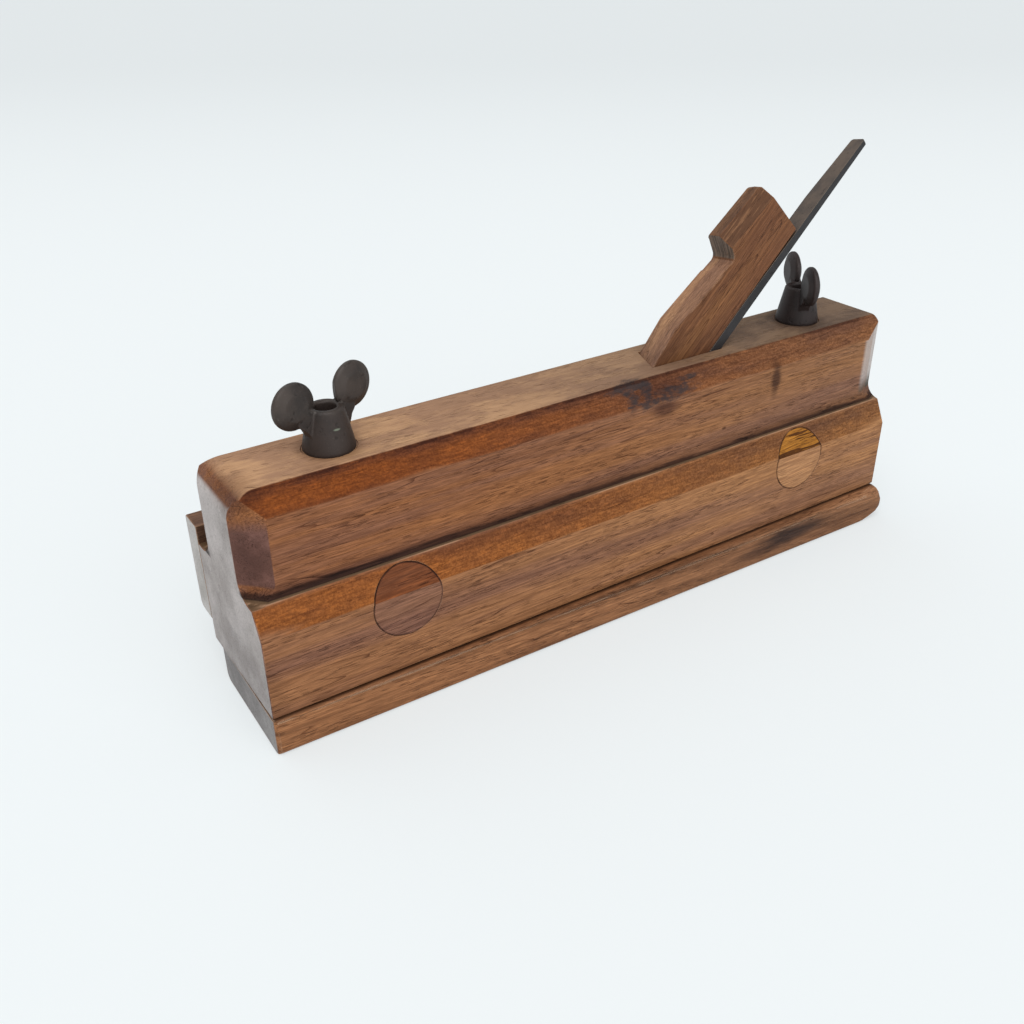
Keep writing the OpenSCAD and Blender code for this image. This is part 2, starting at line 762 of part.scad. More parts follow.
// A round-headed wood screw with a slot, seated on the plate
module stop_screw(x) {
    point = 5;
    tip_d = 0.6;
    slot = 1.2;
    slot_deep = 1.4;
    dome = 0.6;
    head_y = stop_out + fit;
    color(metal_dark) translate([x, head_y, stop_screw_z]) rotate([90, 0, 0]) difference() {
        union() {
            cylinder(h = stop_screw_l - point, d = stop_screw_d);
            translate([0, 0, stop_screw_l - point]) cylinder(h = point, d1 = stop_screw_d, d2 = tip_d);
            intersection() {
                translate([0, 0, -screw_head_h]) cylinder(h = screw_head_h, d = screw_head_d);
                translate([0, 0, screw_head_d / 2 - screw_head_h + dome])
                    sphere(d = screw_head_d + 2 * dome);
            }
        }
        translate([-slot / 2, -screw_head_d, -screw_head_h - over])
            cube([slot, 2 * screw_head_d, over + slot_deep]);
    }
}

// Nicker

// Width of the nicker's wedge at a height
function nicker_wedge_at(z) = nicker_wedge_w - (ledge_z - z) * nicker_slope;

// The groove for nicker and wedge, open through the sole and the shoulder
module nicker_groove() {
    low = sole_z - over;
    high = ledge_z + cove_r + over;
    across(nicker_in - fit, far_y + over) polygon([
        [nicker_back + fit, low], [nicker_back + fit, high],
        [nicker_front - fit - nicker_wedge_at(high), high],
        [nicker_front - fit - nicker_wedge_at(low), low]
    ]);
}

// The nicker, ground to a point at the foot and with its corners eased at the top
module nicker() {
    foot = sole_z - nicker_point;
    head = ledge_z + nicker_out;
    corner = 1.5;
    grind = nicker_w * 0.45;
    point_x = nicker_front + nicker_w * 0.35;
    color(metal_rust) across(nicker_in, far_y) polygon([
        [nicker_back, foot + grind], [nicker_back, head - corner], [nicker_back - corner, head],
        [nicker_front + corner, head], [nicker_front, head - corner], [nicker_front, foot + grind],
        [point_x, foot]
    ]);
}

// The wedge that jams the nicker in its groove
module nicker_wedge() {
    low = nicker_wedge_low;
    driven = 2;
    high = ledge_z + nicker_out - driven;
    edge = nicker_front - fit;
    corner = 1.2;
    color(wood_light) across(nicker_in, far_y) polygon([
        [edge, low], [edge, high], [edge - nicker_wedge_at(high) + corner + fit, high],
        [edge - nicker_wedge_at(high) + fit, high - corner], [edge - nicker_wedge_at(low) + fit, low]
    ]);
}

module front_slot_plate() { slot_plate(-stop_screw_x); }
module rear_slot_plate() { slot_plate(stop_screw_x); }
module front_plate_pins() { plate_pins(-stop_screw_x); }
module rear_plate_pins() { plate_pins(stop_screw_x); }
module front_stop_screw() { stop_screw(-stop_screw_x); }
module rear_stop_screw() { stop_screw(stop_screw_x); }

stock();
front_plug();
rear_plug();
fence();
depth_stop();
iron();
wedge();
front_bolt();
rear_bolt();
front_clamp_washer();
rear_clamp_washer();
front_wing_nut();
rear_wing_nut();
front_slot_plate();
rear_slot_plate();
front_plate_pins();
rear_plate_pins();
front_stop_screw();
rear_stop_screw();
nicker();
nicker_wedge();
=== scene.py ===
"""Looks for the moving fillister plane: old planed wood, dark cast wing nuts, brown-patinated iron."""
import math

import bmesh
import bpy
from mathutils import Matrix, Vector


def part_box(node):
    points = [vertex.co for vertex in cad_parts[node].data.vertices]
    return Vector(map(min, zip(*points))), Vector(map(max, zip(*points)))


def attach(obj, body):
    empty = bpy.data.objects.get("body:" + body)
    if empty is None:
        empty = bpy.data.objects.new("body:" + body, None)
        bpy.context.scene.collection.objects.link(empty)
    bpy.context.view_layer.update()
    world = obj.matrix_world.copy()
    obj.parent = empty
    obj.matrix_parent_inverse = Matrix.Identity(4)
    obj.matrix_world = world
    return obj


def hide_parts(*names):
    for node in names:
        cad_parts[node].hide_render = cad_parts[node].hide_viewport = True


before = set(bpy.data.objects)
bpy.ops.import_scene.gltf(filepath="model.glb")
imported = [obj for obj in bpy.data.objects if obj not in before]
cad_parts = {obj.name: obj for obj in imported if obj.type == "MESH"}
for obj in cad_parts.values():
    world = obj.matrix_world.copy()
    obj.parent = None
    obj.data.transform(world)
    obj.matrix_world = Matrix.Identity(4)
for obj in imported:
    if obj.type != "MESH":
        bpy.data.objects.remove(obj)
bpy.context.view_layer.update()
MM = 0.001

# Places on the plane, in metres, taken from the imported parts
STOCK_LOW, STOCK_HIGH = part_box("stock")
TOE_X = STOCK_LOW[0]
HEEL_X = STOCK_HIGH[0]
SOLE_Z = STOCK_LOW[2]
TOP_Z = STOCK_HIGH[2]
NEAR_Y = STOCK_LOW[1]
BOLT_PLACES = tuple(0.5 * (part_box(node)[0][0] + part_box(node)[1][0]) for node in ("front_bolt", "rear_bolt"))
PLUG_MIDDLES = tuple(0.5 * (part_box(node)[0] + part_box(node)[1]) for node in ("front_plug", "rear_plug"))
PLUG_RADIUS = 0.5 * (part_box("front_plug")[1][0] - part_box("front_plug")[0][0])

# Places inside the stock's box: its shoulder, the sides of its upper block, and where colours change
SHOULDER_Z = SOLE_Z + 33.2 * MM
WAIST_Y = 17.8 * MM
LEDGE_EDGE = SHOULDER_Z + 0.28 * MM
CHAMFER_FOOT = (TOP_Z - 6.9 * MM, TOP_Z - 5.7 * MM)
FACET_FOOT = (SHOULDER_Z - 8.9 * MM, SHOULDER_Z - 7.6 * MM)
PLUM_TOP = (TOP_Z - 6.0 * MM, TOP_Z - 11.0 * MM)
# Where the painted glare at the heel gives way to dark green
GLARE_FOOT = (LEDGE_EDGE + 11.0 * MM, LEDGE_EDGE + 4.0 * MM)
LEDGE_BAND = (LEDGE_EDGE - 0.05 * MM, LEDGE_EDGE + 0.1 * MM, LEDGE_EDGE + 0.4 * MM, LEDGE_EDGE + 0.8 * MM)
# Where the pale rubbed line with its painted highlight lies on the ledge's arris
RUBBED_HIGHLIGHT_BAND = (LEDGE_EDGE - 0.35 * MM, LEDGE_EDGE - 0.1 * MM, LEDGE_EDGE - 0.02 * MM, LEDGE_EDGE + 0.2 * MM)
BED_LEAN = math.radians(45.5)

# Directions that faces look in
TOEWARDS = (-1.0, 0.0, 0.0)
HEELWARDS = (1.0, 0.0, 0.0)
NEARWARDS = (0.0, -1.0, 0.0)
FARWARDS = (0.0, 1.0, 0.0)
UPWARDS = (0.0, 0.0, 1.0)
DOWNWARDS = (0.0, 0.0, -1.0)
NEAR_CHAMFER = (0.0, -1.0, 0.9)
FAR_CHAMFER = (0.0, 1.0, 0.9)
NEAR_FACET = (0.0, -1.0, 0.45)
NEAR_RIM = (0.0, -1.0, 1.0)
NEAR_TOE_CORNER = (-1.0, -1.0, 0.0)
FAR_TOE_CORNER = (-1.0, 1.0, 0.0)
HEEL_CORNER = (0.41, -0.91, 0.0)
WEDGE_FACE = (-0.69, 0.25, 0.68)
HEAD_CHAMFER = (-0.574, -0.454, 0.682)
NOTCH_WALL = (-0.93, 0.12, -0.35)
HEAD_END = (math.cos(BED_LEAN), 0.0, math.sin(BED_LEAN))

# How fine each field of a wood's figure is: waves in a metre along the grain, across it and through it
PATCH_GRAIN = (4.5, 85.0, 85.0)
STREAK_GRAIN = (20.0, 520.0, 520.0)
FIBRE_GRAIN = (110.0, 2400.0, 2400.0)
RIPPLE_GRAIN = (1700.0, 1300.0, 1300.0)
WEAVE_GRAIN = (350.0, 1500.0, 1500.0)
CLOUD_GRAIN = (45.0, 95.0, 95.0)
SCRATCH_GRAIN = (220.0, 1500.0, 400.0)
SCRATCH_SKEW = 0.5
RING_GRAIN = (4.0, 90.0, 90.0)
RING_COUNT = 18.0
RING_STRENGTH_GRAIN = (22.0, 170.0, 170.0)
FLECK_GRAIN = (190.0, 2800.0, 2800.0)
CROWD_GRAIN = (45.0, 260.0, 260.0)

# Tints that multiply a wood's colour: on faces cut with the grain, across the rays, and on handled ones
STREAK_TINT = (0.72, 0.67, 0.64, 1.0)
FIBRE_SHADE = (0.7, 0.66, 0.64, 1.0)
FIBRE_GLEAM = (1.22, 1.2, 1.16, 1.0)
RING_TINT = (0.42, 0.34, 0.31, 1.0)
FLECK_TINT = (0.36, 0.29, 0.26, 1.0)
RAY_STREAK_TINT = (0.7, 0.64, 0.6, 1.0)
RIPPLE_TINT = (0.78, 0.73, 0.68, 1.0)
WEAVE_SHADE = (0.76, 0.72, 0.68, 1.0)
WEAVE_GLEAM = (1.3, 1.28, 1.22, 1.0)
RAY_RING_TINT = (0.5, 0.42, 0.4, 1.0)
WORN_STREAK_TINT = (0.78, 0.74, 0.7, 1.0)
WORN_FIBRE_TINT = (0.84, 0.82, 0.8, 1.0)
WORN_FLECK_TINT = (0.55, 0.48, 0.44, 1.0)
SCRATCH_TINT = (0.42, 0.36, 0.33, 1.0)

# Tints of dirt, of shaded places and of iron
END_FINE_TINT = (0.82, 0.82, 0.82, 1.0)
END_PIT_TINT = (0.72, 0.71, 0.7, 1.0)
LEDGE_STREAK_TINT = (0.7, 0.68, 0.66, 1.0)
RIM_TINT = (0.5, 0.43, 0.42, 1.0)
PLUG_JOINT_TINT = (0.22, 0.17, 0.15, 1.0)
PLUG_CRACK_TINT = (0.16, 0.1, 0.06, 1.0)
# Painted shade in the stock's coves: a soft film, and a deep dark line along the crease
COVE_SHADE_TINT = (0.4, 0.34, 0.33, 1.0)
COVE_CREASE_SHADE_TINT = (0.2, 0.17, 0.18, 1.0)
# A painted shadow round each wing nut's foot, over the stain of the dent it pressed
NUT_SHADOW_RING_TINT = (0.45, 0.4, 0.37, 1.0)
STOCK_FOOT_TINT = (0.45, 0.4, 0.38, 1.0)
FENCE_STREAK_TINT = (0.5, 0.47, 0.47, 1.0)
# A dark joint with painted shade where the fence meets the stock
FENCE_JOINT_SHADE_TINT = (0.12, 0.1, 0.09, 1.0)
# Painted shade on the fence's faces that look down
UNDERSIDE_SHADE_TINT = (0.6, 0.55, 0.5, 1.0)
# Painted shade in the gap between the depth stop and the stock
STOP_GAP_SHADE_TINT = (0.25, 0.2, 0.2, 1.0)
STOP_TOP_TINT = (0.5, 0.45, 0.5, 1.0)
WEDGE_FOOT_TINT = (0.53, 0.55, 0.64, 1.0)
IRON_PIT_TINT = (0.6, 0.58, 0.56, 1.0)
NUT_BOSS_TINT = (0.6, 0.52, 0.51, 1.0)
REAR_NUT_TINT = (0.58, 0.5, 0.55, 1.0)

# Colours in even light, as linear red, green and blue. Where a name has two, they are for toe and heel
SIDE_MAUVE = ((0.222, 0.098, 0.058, 1.0), (0.224, 0.11, 0.068, 1.0))
SIDE_TAN = ((0.308, 0.122, 0.045, 1.0), (0.307, 0.145, 0.063, 1.0))
LOW_SIDE_MAUVE = ((0.227, 0.104, 0.062, 1.0), (0.268, 0.131, 0.073, 1.0))
LOW_SIDE_TAN = ((0.314, 0.141, 0.062, 1.0), (0.382, 0.183, 0.077, 1.0))
TOP_DULL = ((0.395, 0.22, 0.128, 1.0), (0.138, 0.088, 0.06, 1.0))
TOP_TAN = ((0.55, 0.315, 0.168, 1.0), (0.205, 0.132, 0.084, 1.0))
CHAMFER_RED = ((0.108, 0.03, 0.0115, 1.0), (0.15, 0.065, 0.036, 1.0))
CHAMFER_ORANGE = ((0.24, 0.063, 0.01, 1.0), (0.268, 0.113, 0.045, 1.0))
FACET_RED = ((0.175, 0.056, 0.019, 1.0), (0.145, 0.064, 0.032, 1.0))
FACET_ORANGE = ((0.325, 0.105, 0.022, 1.0), (0.28, 0.117, 0.038, 1.0))
LEDGE = (0.11, 0.062, 0.032, 1.0)
# A pale rubbed line that is partly a painted highlight on the ledge's arris
LEDGE_RUBBED_HIGHLIGHT = (0.46, 0.27, 0.16, 1.0)
# A painted glare on the heel's near chamfer, and the dark green below it
HEEL_GLARE = (0.5, 0.46, 0.44, 1.0)
HEEL_GREEN = (0.05, 0.05, 0.038, 1.0)
PLUM_DARK = (0.128, 0.06, 0.046, 1.0)
PLUM_LIGHT = (0.2, 0.096, 0.076, 1.0)
END_LIGHT = (0.522, 0.47, 0.451, 1.0)
END_DARK = (0.342, 0.302, 0.284, 1.0)
# Pale worn edges that also carry a painted highlight
WORN_EDGE_HIGHLIGHT = (0.55, 0.36, 0.24, 1.0)
FENCE_RED = ((0.22, 0.094, 0.04, 1.0), (0.22, 0.103, 0.05, 1.0))
FENCE_TAN = ((0.37, 0.166, 0.072, 1.0), (0.42, 0.205, 0.099, 1.0))
# The fence's pale worn upper edge, partly a painted highlight
FENCE_EDGE_HIGHLIGHT = (0.6, 0.41, 0.28, 1.0)
FENCE_END_LIGHT = (0.306, 0.284, 0.276, 1.0)
FENCE_END_DARK = (0.187, 0.17, 0.167, 1.0)
STOP_MAUVE = (0.3, 0.18, 0.11, 1.0)
STOP_TAN = (0.42, 0.25, 0.14, 1.0)
STOP_END_LIGHT = (0.55, 0.515, 0.49, 1.0)
STOP_END_DARK = (0.4, 0.365, 0.34, 1.0)
WEDGE_MAUVE = (0.178, 0.075, 0.035, 1.0)
WEDGE_TAN = (0.275, 0.122, 0.048, 1.0)
WEDGE_FACE_MAUVE = (0.3, 0.155, 0.092, 1.0)
WEDGE_FACE_TAN = (0.49, 0.264, 0.136, 1.0)
HEAD_DARK = (0.1, 0.046, 0.024, 1.0)
HEAD_LIGHT = (0.225, 0.11, 0.054, 1.0)
NOTCH_LIGHT = (0.2, 0.136, 0.096, 1.0)
NOTCH_DARK = (0.083, 0.06, 0.046, 1.0)
INK = (0.045, 0.032, 0.031, 1.0)
VERDIGRIS = (0.3, 0.36, 0.26, 1.0)

# The two colours that lie in patches on each plug, above on the facet and below on the upright face
FRONT_PLUG_FACET = ((0.135, 0.046, 0.02, 1.0), (0.25, 0.075, 0.022, 1.0))
FRONT_PLUG_FACE = ((0.2, 0.092, 0.062, 1.0), (0.258, 0.123, 0.072, 1.0))
REAR_PLUG_FACET = ((0.368, 0.149, 0.02, 1.0), (0.482, 0.211, 0.036, 1.0))
REAR_PLUG_FACE = ((0.402, 0.201, 0.092, 1.0), (0.492, 0.252, 0.114, 1.0))

# Iron in three tones: ground, patch and rubbed speck
IRON_FACE = ((0.12, 0.085, 0.062, 1.0), (0.07, 0.052, 0.042, 1.0), (0.19, 0.15, 0.12, 1.0))
IRON_EDGE = ((0.03, 0.028, 0.03, 1.0), (0.02, 0.019, 0.02, 1.0), (0.07, 0.066, 0.068, 1.0))
NICKER_FACE = ((0.16, 0.145, 0.13, 1.0), (0.1, 0.09, 0.082, 1.0), (0.3, 0.28, 0.26, 1.0))
NUT_GREY = ((0.054, 0.04, 0.033, 1.0), (0.03, 0.023, 0.02, 1.0), (0.136, 0.117, 0.104, 1.0))
BOLT_RUST = ((0.035, 0.02, 0.013, 1.0), (0.018, 0.012, 0.01, 1.0), (0.09, 0.05, 0.03, 1.0))
FITTING_BROWN = ((0.12, 0.095, 0.08, 1.0), (0.075, 0.06, 0.054, 1.0), (0.24, 0.21, 0.19, 1.0))

# Marks of use: middle and half size along X, Y and Z, and for stains also strength and tint
INK_BLOTS = (
    ((8.0 * MM, -12.5 * MM, TOP_Z - 0.8 * MM), (8.0 * MM, 3.5 * MM, 2.2 * MM)),
    ((6.5 * MM, -15.5 * MM, TOP_Z - 4.4 * MM), (3.2 * MM, 4.5 * MM, 3.0 * MM)),
    ((12.5 * MM, -14.0 * MM, TOP_Z - 2.2 * MM), (3.0 * MM, 3.5 * MM, 2.2 * MM)),
    ((22.0 * MM, -16.5 * MM, TOP_Z - 5.0 * MM), (9.5 * MM, 4.5 * MM, 2.4 * MM)),
    ((12.0 * MM, -17.4 * MM, TOP_Z - 6.0 * MM), (5.5 * MM, 3.5 * MM, 1.8 * MM)),
    ((31.0 * MM, -13.0 * MM, TOP_Z - 2.4 * MM), (6.0 * MM, 3.0 * MM, 0.9 * MM)),
)
STAINS = (
    ((66.2 * MM, -WAIST_Y, 64.8 * MM), (2.3 * MM, 5.0 * MM, 6.4 * MM), 1.0, (0.3, 0.27, 0.3, 1.0)),
    ((20.0 * MM, -15.0 * MM, TOP_Z - 3.5 * MM), (15.0 * MM, 5.0 * MM, 3.8 * MM), 0.5,
     (0.52, 0.45, 0.5, 1.0)),
    ((18.5 * MM, -WAIST_Y, TOP_Z - 9.5 * MM), (5.5 * MM, 4.0 * MM, 2.6 * MM), 0.95,
     (0.42, 0.38, 0.44, 1.0)),
    ((44.2 * MM, -WAIST_Y, 52.9 * MM), (1.0 * MM, 4.0 * MM, 0.5 * MM), 0.9, (0.3, 0.26, 0.24, 1.0)),
    # This one darkens the toe end's lower part
    ((TOE_X, -10.0 * MM, SOLE_Z + 6.0 * MM), (6.0 * MM, 40.0 * MM, 18.0 * MM), 0.6, (0.7, 0.7, 0.71, 1.0)),
    ((TOE_X + 3.0 * MM, -6.0 * MM, TOP_Z - 2.0 * MM), (6.0 * MM, 15.0 * MM, 6.0 * MM), 0.6,
     (0.4, 0.33, 0.3, 1.0)),
    ((TOE_X + 3.0 * MM, -16.0 * MM, 58.0 * MM), (4.0 * MM, 8.0 * MM, 9.0 * MM), 0.5, (0.5, 0.45, 0.45, 1.0)),
)
FENCE_STAINS = (
    ((74.0 * MM, -28.0 * MM, 7.6 * MM), (19.0 * MM, 10.0 * MM, 4.0 * MM), 1.0, (0.26, 0.29, 0.42, 1.0)),
    ((56.0 * MM, -28.0 * MM, 5.2 * MM), (12.0 * MM, 8.0 * MM, 2.6 * MM), 0.8, (0.34, 0.33, 0.4, 1.0)),
    ((103.0 * MM, -28.0 * MM, 3.0 * MM), (16.0 * MM, 8.0 * MM, 3.0 * MM), 0.5, (0.55, 0.5, 0.5, 1.0)),
    ((-40.0 * MM, -28.0 * MM, 3.0 * MM), (22.0 * MM, 8.0 * MM, 2.4 * MM), 0.5, (0.55, 0.5, 0.5, 1.0)),
)
GREEN_SPECK = (-86.0 * MM, -7.0 * MM, TOP_Z + 7.0 * MM)

# Sockets of a Mix node that mixes colours
MIX_FACTOR = 0
MIX_FIRST = 6
MIX_SECOND = 7
MIX_RESULT = 2


class Nodes:
    """Builds one material's node tree with short calls."""

    def __init__(self, name):
        self.material = bpy.data.materials.new(name)
        self.material.use_nodes = True
        self.tree = self.material.node_tree
        self.tree.nodes.clear()
        coord = self.tree.nodes.new("ShaderNodeTexCoord")
        self.object_point = coord.outputs["Object"]
        self.object_normal = coord.outputs["Normal"]

    def link(self, source, target):
        self.tree.links.new(source, target)

    def feed(self, socket, value):
        """Sets a socket from a number, a colour or another node's output."""
        if hasattr(value, "is_linked"):
            self.link(value, socket)
        else:
            socket.default_value = value

    def math(self, operation, first, second=0.0):
        node = self.tree.nodes.new("ShaderNodeMath")
        node.operation = operation
        self.feed(node.inputs[0], first)
        self.feed(node.inputs[1], second)
        return node.outputs[0]

    def times(self, first, second):
        return self.math("MULTIPLY", first, second)

    def plus(self, first, second):
        return self.math("ADD", first, second)

    def larger(self, first, second):
        return self.math("MAXIMUM", first, second)

    def rise(self, value, low, high):
        """Goes smoothly from 0 at low to 1 at high, also where low is the greater number."""
        node = self.tree.nodes.new("ShaderNodeMapRange")
        node.interpolation_type = "SMOOTHSTEP"
        self.feed(node.inputs["Value"], value)
        node.inputs["From Min"].default_value = min(low, high)
        node.inputs["From Max"].default_value = max(low, high)
        node.inputs["To Min"].default_value = 0.0 if low < high else 1.0
        node.inputs["To Max"].default_value = 1.0 if low < high else 0.0
        return node.outputs["Result"]

    def band(self, value, start, full_from, full_to, end):
        """1 between the two inner numbers, 0 outside the two outer ones."""
        return self.times(self.rise(value, start, full_from), self.rise(value, end, full_to))

    def sway(self, noise, width):
        """Noise as a push to either side; all of it spans the width."""
        return self.times(self.plus(noise, -0.5), width)

    def mix(self, factor, first, second, way="MIX"):
        """Mixes two colours."""
        node = self.tree.nodes.new("ShaderNodeMix")
        node.data_type = "RGBA"
        node.blend_type = way
        self.feed(node.inputs[MIX_FACTOR], factor)
        self.feed(node.inputs[MIX_FIRST], first)
        self.feed(node.inputs[MIX_SECOND], second)
        return node.outputs[MIX_RESULT]

    def shade(self, factor, base, tint):
        """Multiplies a colour by a tint where the factor is 1."""
        return self.mix(factor, base, tint, "MULTIPLY")

    def axes(self):
        """The object's own X, Y and Z."""
        node = self.tree.nodes.new("ShaderNodeSeparateXYZ")
        self.link(self.object_point, node.inputs[0])
        return node.outputs[0], node.outputs[1], node.outputs[2]

    def turned(self, lean=0.0, skew=0.0):
        """The object's own coordinates, turned about Y by the lean and about Z by the skew."""
        node = self.tree.nodes.new("ShaderNodeMapping")
        self.link(self.object_point, node.inputs["Vector"])
        node.inputs["Rotation"].default_value = (0.0, lean, skew)
        return node.outputs["Vector"]

    def mapped(self, scale, place=(0.0, 0.0, 0.0), source=None):
        """Coordinates, the object's own if no others are given, scaled and then moved."""
        node = self.tree.nodes.new("ShaderNodeMapping")
        self.link(source or self.object_point, node.inputs["Vector"])
        node.inputs["Scale"].default_value = scale
        node.inputs["Location"].default_value = place
        return node.outputs["Vector"]

    def noise(self, grain, detail=3.0, roughness=0.55, place=(0.0, 0.0, 0.0), source=None):
        """Soft noise from 0 to 1; the grain is its waves in a metre along X, Y and Z."""
        node = self.tree.nodes.new("ShaderNodeTexNoise")
        self.link(self.mapped(grain, place, source), node.inputs["Vector"])
        node.inputs["Scale"].default_value = 1.0
        node.inputs["Detail"].default_value = detail
        node.inputs["Roughness"].default_value = roughness
        return node.outputs["Fac"]

    def cells(self, grain, place=(0.0, 0.0, 0.0), source=None):
        """How far a point is from the middle of its cell; the grain is the cells in a metre."""
        node = self.tree.nodes.new("ShaderNodeTexVoronoi")
        self.link(self.mapped(grain, place, source), node.inputs["Vector"])
        node.inputs["Scale"].default_value = 1.0
        return node.outputs["Distance"]

    def facing(self, direction, low, high):
        """1 where the surface faces the direction; low and high are cosines of the angle between them."""
        node = self.tree.nodes.new("ShaderNodeVectorMath")
        node.operation = "DOT_PRODUCT"
        self.link(self.object_normal, node.inputs[0])
        node.inputs[1].default_value = Vector(direction).normalized()
        return self.rise(node.outputs["Value"], low, high)

    def facing_either(self, first, second, low, high):
        return self.larger(self.facing(first, low, high), self.facing(second, low, high))

    def spot(self, centre, reach, ragged=0.35, grain=(40.0, 160.0, 160.0), sharp=0.0):
        """A blot with a ragged edge, 1 at its centre; reach is its half size along X, Y and Z."""
        scale = tuple(1.0 / size for size in reach)
        place = tuple(-middle * factor for middle, factor in zip(centre, scale))
        node = self.tree.nodes.new("ShaderNodeVectorMath")
        node.operation = "LENGTH"
        self.link(self.mapped(scale, place), node.inputs[0])
        wobble = self.sway(self.noise(grain, 4.0), ragged * 4.0)
        outline = 1.25 - 0.4 * sharp
        core = 0.25 + sharp
        return self.rise(self.plus(node.outputs["Value"], wobble), outline, core)

    def edges(self, radius, low=0.01, high=0.12):
        """1 along the piece's sharp edges, 0 on its flats."""
        bevel = self.tree.nodes.new("ShaderNodeBevel")
        bevel.samples = 4
        bevel.inputs["Radius"].default_value = radius
        geometry = self.tree.nodes.new("ShaderNodeNewGeometry")
        node = self.tree.nodes.new("ShaderNodeVectorMath")
        node.operation = "DOT_PRODUCT"
        self.link(bevel.outputs["Normal"], node.inputs[0])
        self.link(geometry.outputs["Normal"], node.inputs[1])
        return self.rise(self.math("SUBTRACT", 1.0, node.outputs["Value"]), low, high)

    def finish(self, colour, roughness, height, depth, metal=0.0, shine=0.12):
        """Closes the tree with a surface that has a fine relief."""
        bump = self.tree.nodes.new("ShaderNodeBump")
        bump.inputs["Strength"].default_value = 1.0
        bump.inputs["Distance"].default_value = depth
        self.feed(bump.inputs["Height"], height)
        shader = self.tree.nodes.new("ShaderNodeBsdfPrincipled")
        self.feed(shader.inputs["Base Color"], colour)
        self.feed(shader.inputs["Roughness"], roughness)
        shader.inputs["Metallic"].default_value = metal
        shader.inputs["Specular IOR Level"].default_value = shine
        self.link(bump.outputs["Normal"], shader.inputs["Normal"])
        output = self.tree.nodes.new("ShaderNodeOutputMaterial")
        self.link(shader.outputs[0], output.inputs["Surface"])
        return self.material


class Figure:
    """The figure of one piece of wood, as fields from 0 to 1 that run along its grain."""

    def __init__(self, n, lean, seed):
        self.n = n
        self.along = n.turned(lean)
        self.place = (seed, seed * 1.7, seed * 0.6)
        self.patches = n.rise(self.field(PATCH_GRAIN, 5.0, 0.6), 0.38, 0.62)
        self.streaks = n.rise(self.field(STREAK_GRAIN, 4.0, 0.7), 0.47, 0.7)
        self.fibres = self.field(FIBRE_GRAIN, 4.0, 0.75)
        self.ripple = self.field(RIPPLE_GRAIN, 2.0, 0.6)
        self.weave = self.field(WEAVE_GRAIN, 3.0, 0.7)
        self.clouds = n.rise(self.field(CLOUD_GRAIN, 6.0, 0.65), 0.4, 0.6)
        scratch = n.noise(SCRATCH_GRAIN, 2.0, 0.4, self.place, n.turned(skew=SCRATCH_SKEW))
        self.scratches = n.rise(scratch, 0.68, 0.73)
        saw = n.math("FRACT", n.times(self.field(RING_GRAIN, 2.0, 0.5), RING_COUNT))
        strength = self.field(RING_STRENGTH_GRAIN, 2.0)
        self.rings = n.times(n.rise(saw, 0.1, 0.0), n.rise(strength, 0.4, 0.56))
        cells = n.cells(FLECK_GRAIN, self.place, self.along)
        crowd = self.field(CROWD_GRAIN, 3.0)
        self.flecks = n.times(n.rise(cells, 0.36, 0.24), n.rise(crowd, 0.42, 0.58))

    def field(self, grain, detail, roughness=0.55):
        """Noise that lies along this wood's grain."""
        return self.n.noise(grain, detail, roughness, self.place, self.along)

    def colour(self, first, second):
        """A face cut with the grain: patches of two colours under streaks, fibres, rings and flecks."""
        n = self.n
        base = n.mix(self.patches, first, second)
        base = n.shade(n.times(self.streaks, 0.7), base, STREAK_TINT)
        base = n.shade(n.rise(self.fibres, 0.6, 0.38), base, FIBRE_SHADE)
        base = n.shade(n.rise(self.fibres, 0.5, 0.68), base, FIBRE_GLEAM)
        base = n.shade(n.times(self.rings, 0.9), base, RING_TINT)
        return n.shade(n.times(self.flecks, 0.62), base, FLECK_TINT)

    def ray_colour(self, first, second):
        """A face cut across the rays: patches of two colours under a fine crosswise ripple."""
        n = self.n
        share = n.plus(n.times(self.patches, 0.65), n.times(self.clouds, 0.35))
        base = n.mix(share, first, second)
        base = n.shade(n.times(self.streaks, 0.4), base, RAY_STREAK_TINT)
        base = n.shade(n.rise(self.ripple, 0.56, 0.42), base, RIPPLE_TINT)
        base = n.shade(n.rise(self.weave, 0.54, 0.4), base, WEAVE_SHADE)
        base = n.shade(n.rise(self.weave, 0.54, 0.68), base, WEAVE_GLEAM)
        return n.shade(n.times(self.rings, 0.6), base, RAY_RING_TINT)

    def worn_colour(self, first, second):
        """A handled face: soft clouds of two colours, faint fibres and small scratches."""
        n = self.n
        base = n.mix(self.clouds, first, second)
        base = n.shade(n.times(self.streaks, 0.3), base, WORN_STREAK_TINT)
        base = n.shade(n.rise(self.fibres, 0.6, 0.38), base, WORN_FIBRE_TINT)
        base = n.shade(n.times(self.flecks, 0.5), base, WORN_FLECK_TINT)
        return n.shade(n.times(self.scratches, 0.75), base, SCRATCH_TINT)

    def finish(self, colour, rough, depth, uneven=0.15):
        """Closes the tree: fibres roughen the surface, and flecks and rings sink into it."""
        n = self.n
        if uneven:
            rough = n.plus(rough, n.times(self.fibres, uneven))
        sunk = n.plus(n.times(self.flecks, -1.0), n.times(self.rings, -0.6))
        return n.finish(colour, rough, n.plus(sunk, n.times(self.fibres, 0.5)), depth)


def evenly(count):
    """A grain that is equally fine along X, Y and Z."""
    return (count, count, count)


def end_grain(n, light, dark):
    """Sawn end grain: pale, with fine dark pits and soft clouds."""
    clouds = n.noise(evenly(60.0), 4.0, 0.6)
    fine = n.noise(evenly(1400.0), 2.0)
    colour = n.mix(n.rise(clouds, 0.35, 0.7), light, dark)
    colour = n.shade(n.rise(fine, 0.45, 0.7), colour, END_FINE_TINT)
    return n.shade(n.rise(n.cells(evenly(900.0)), 0.28, 0.05), colour, END_PIT_TINT)


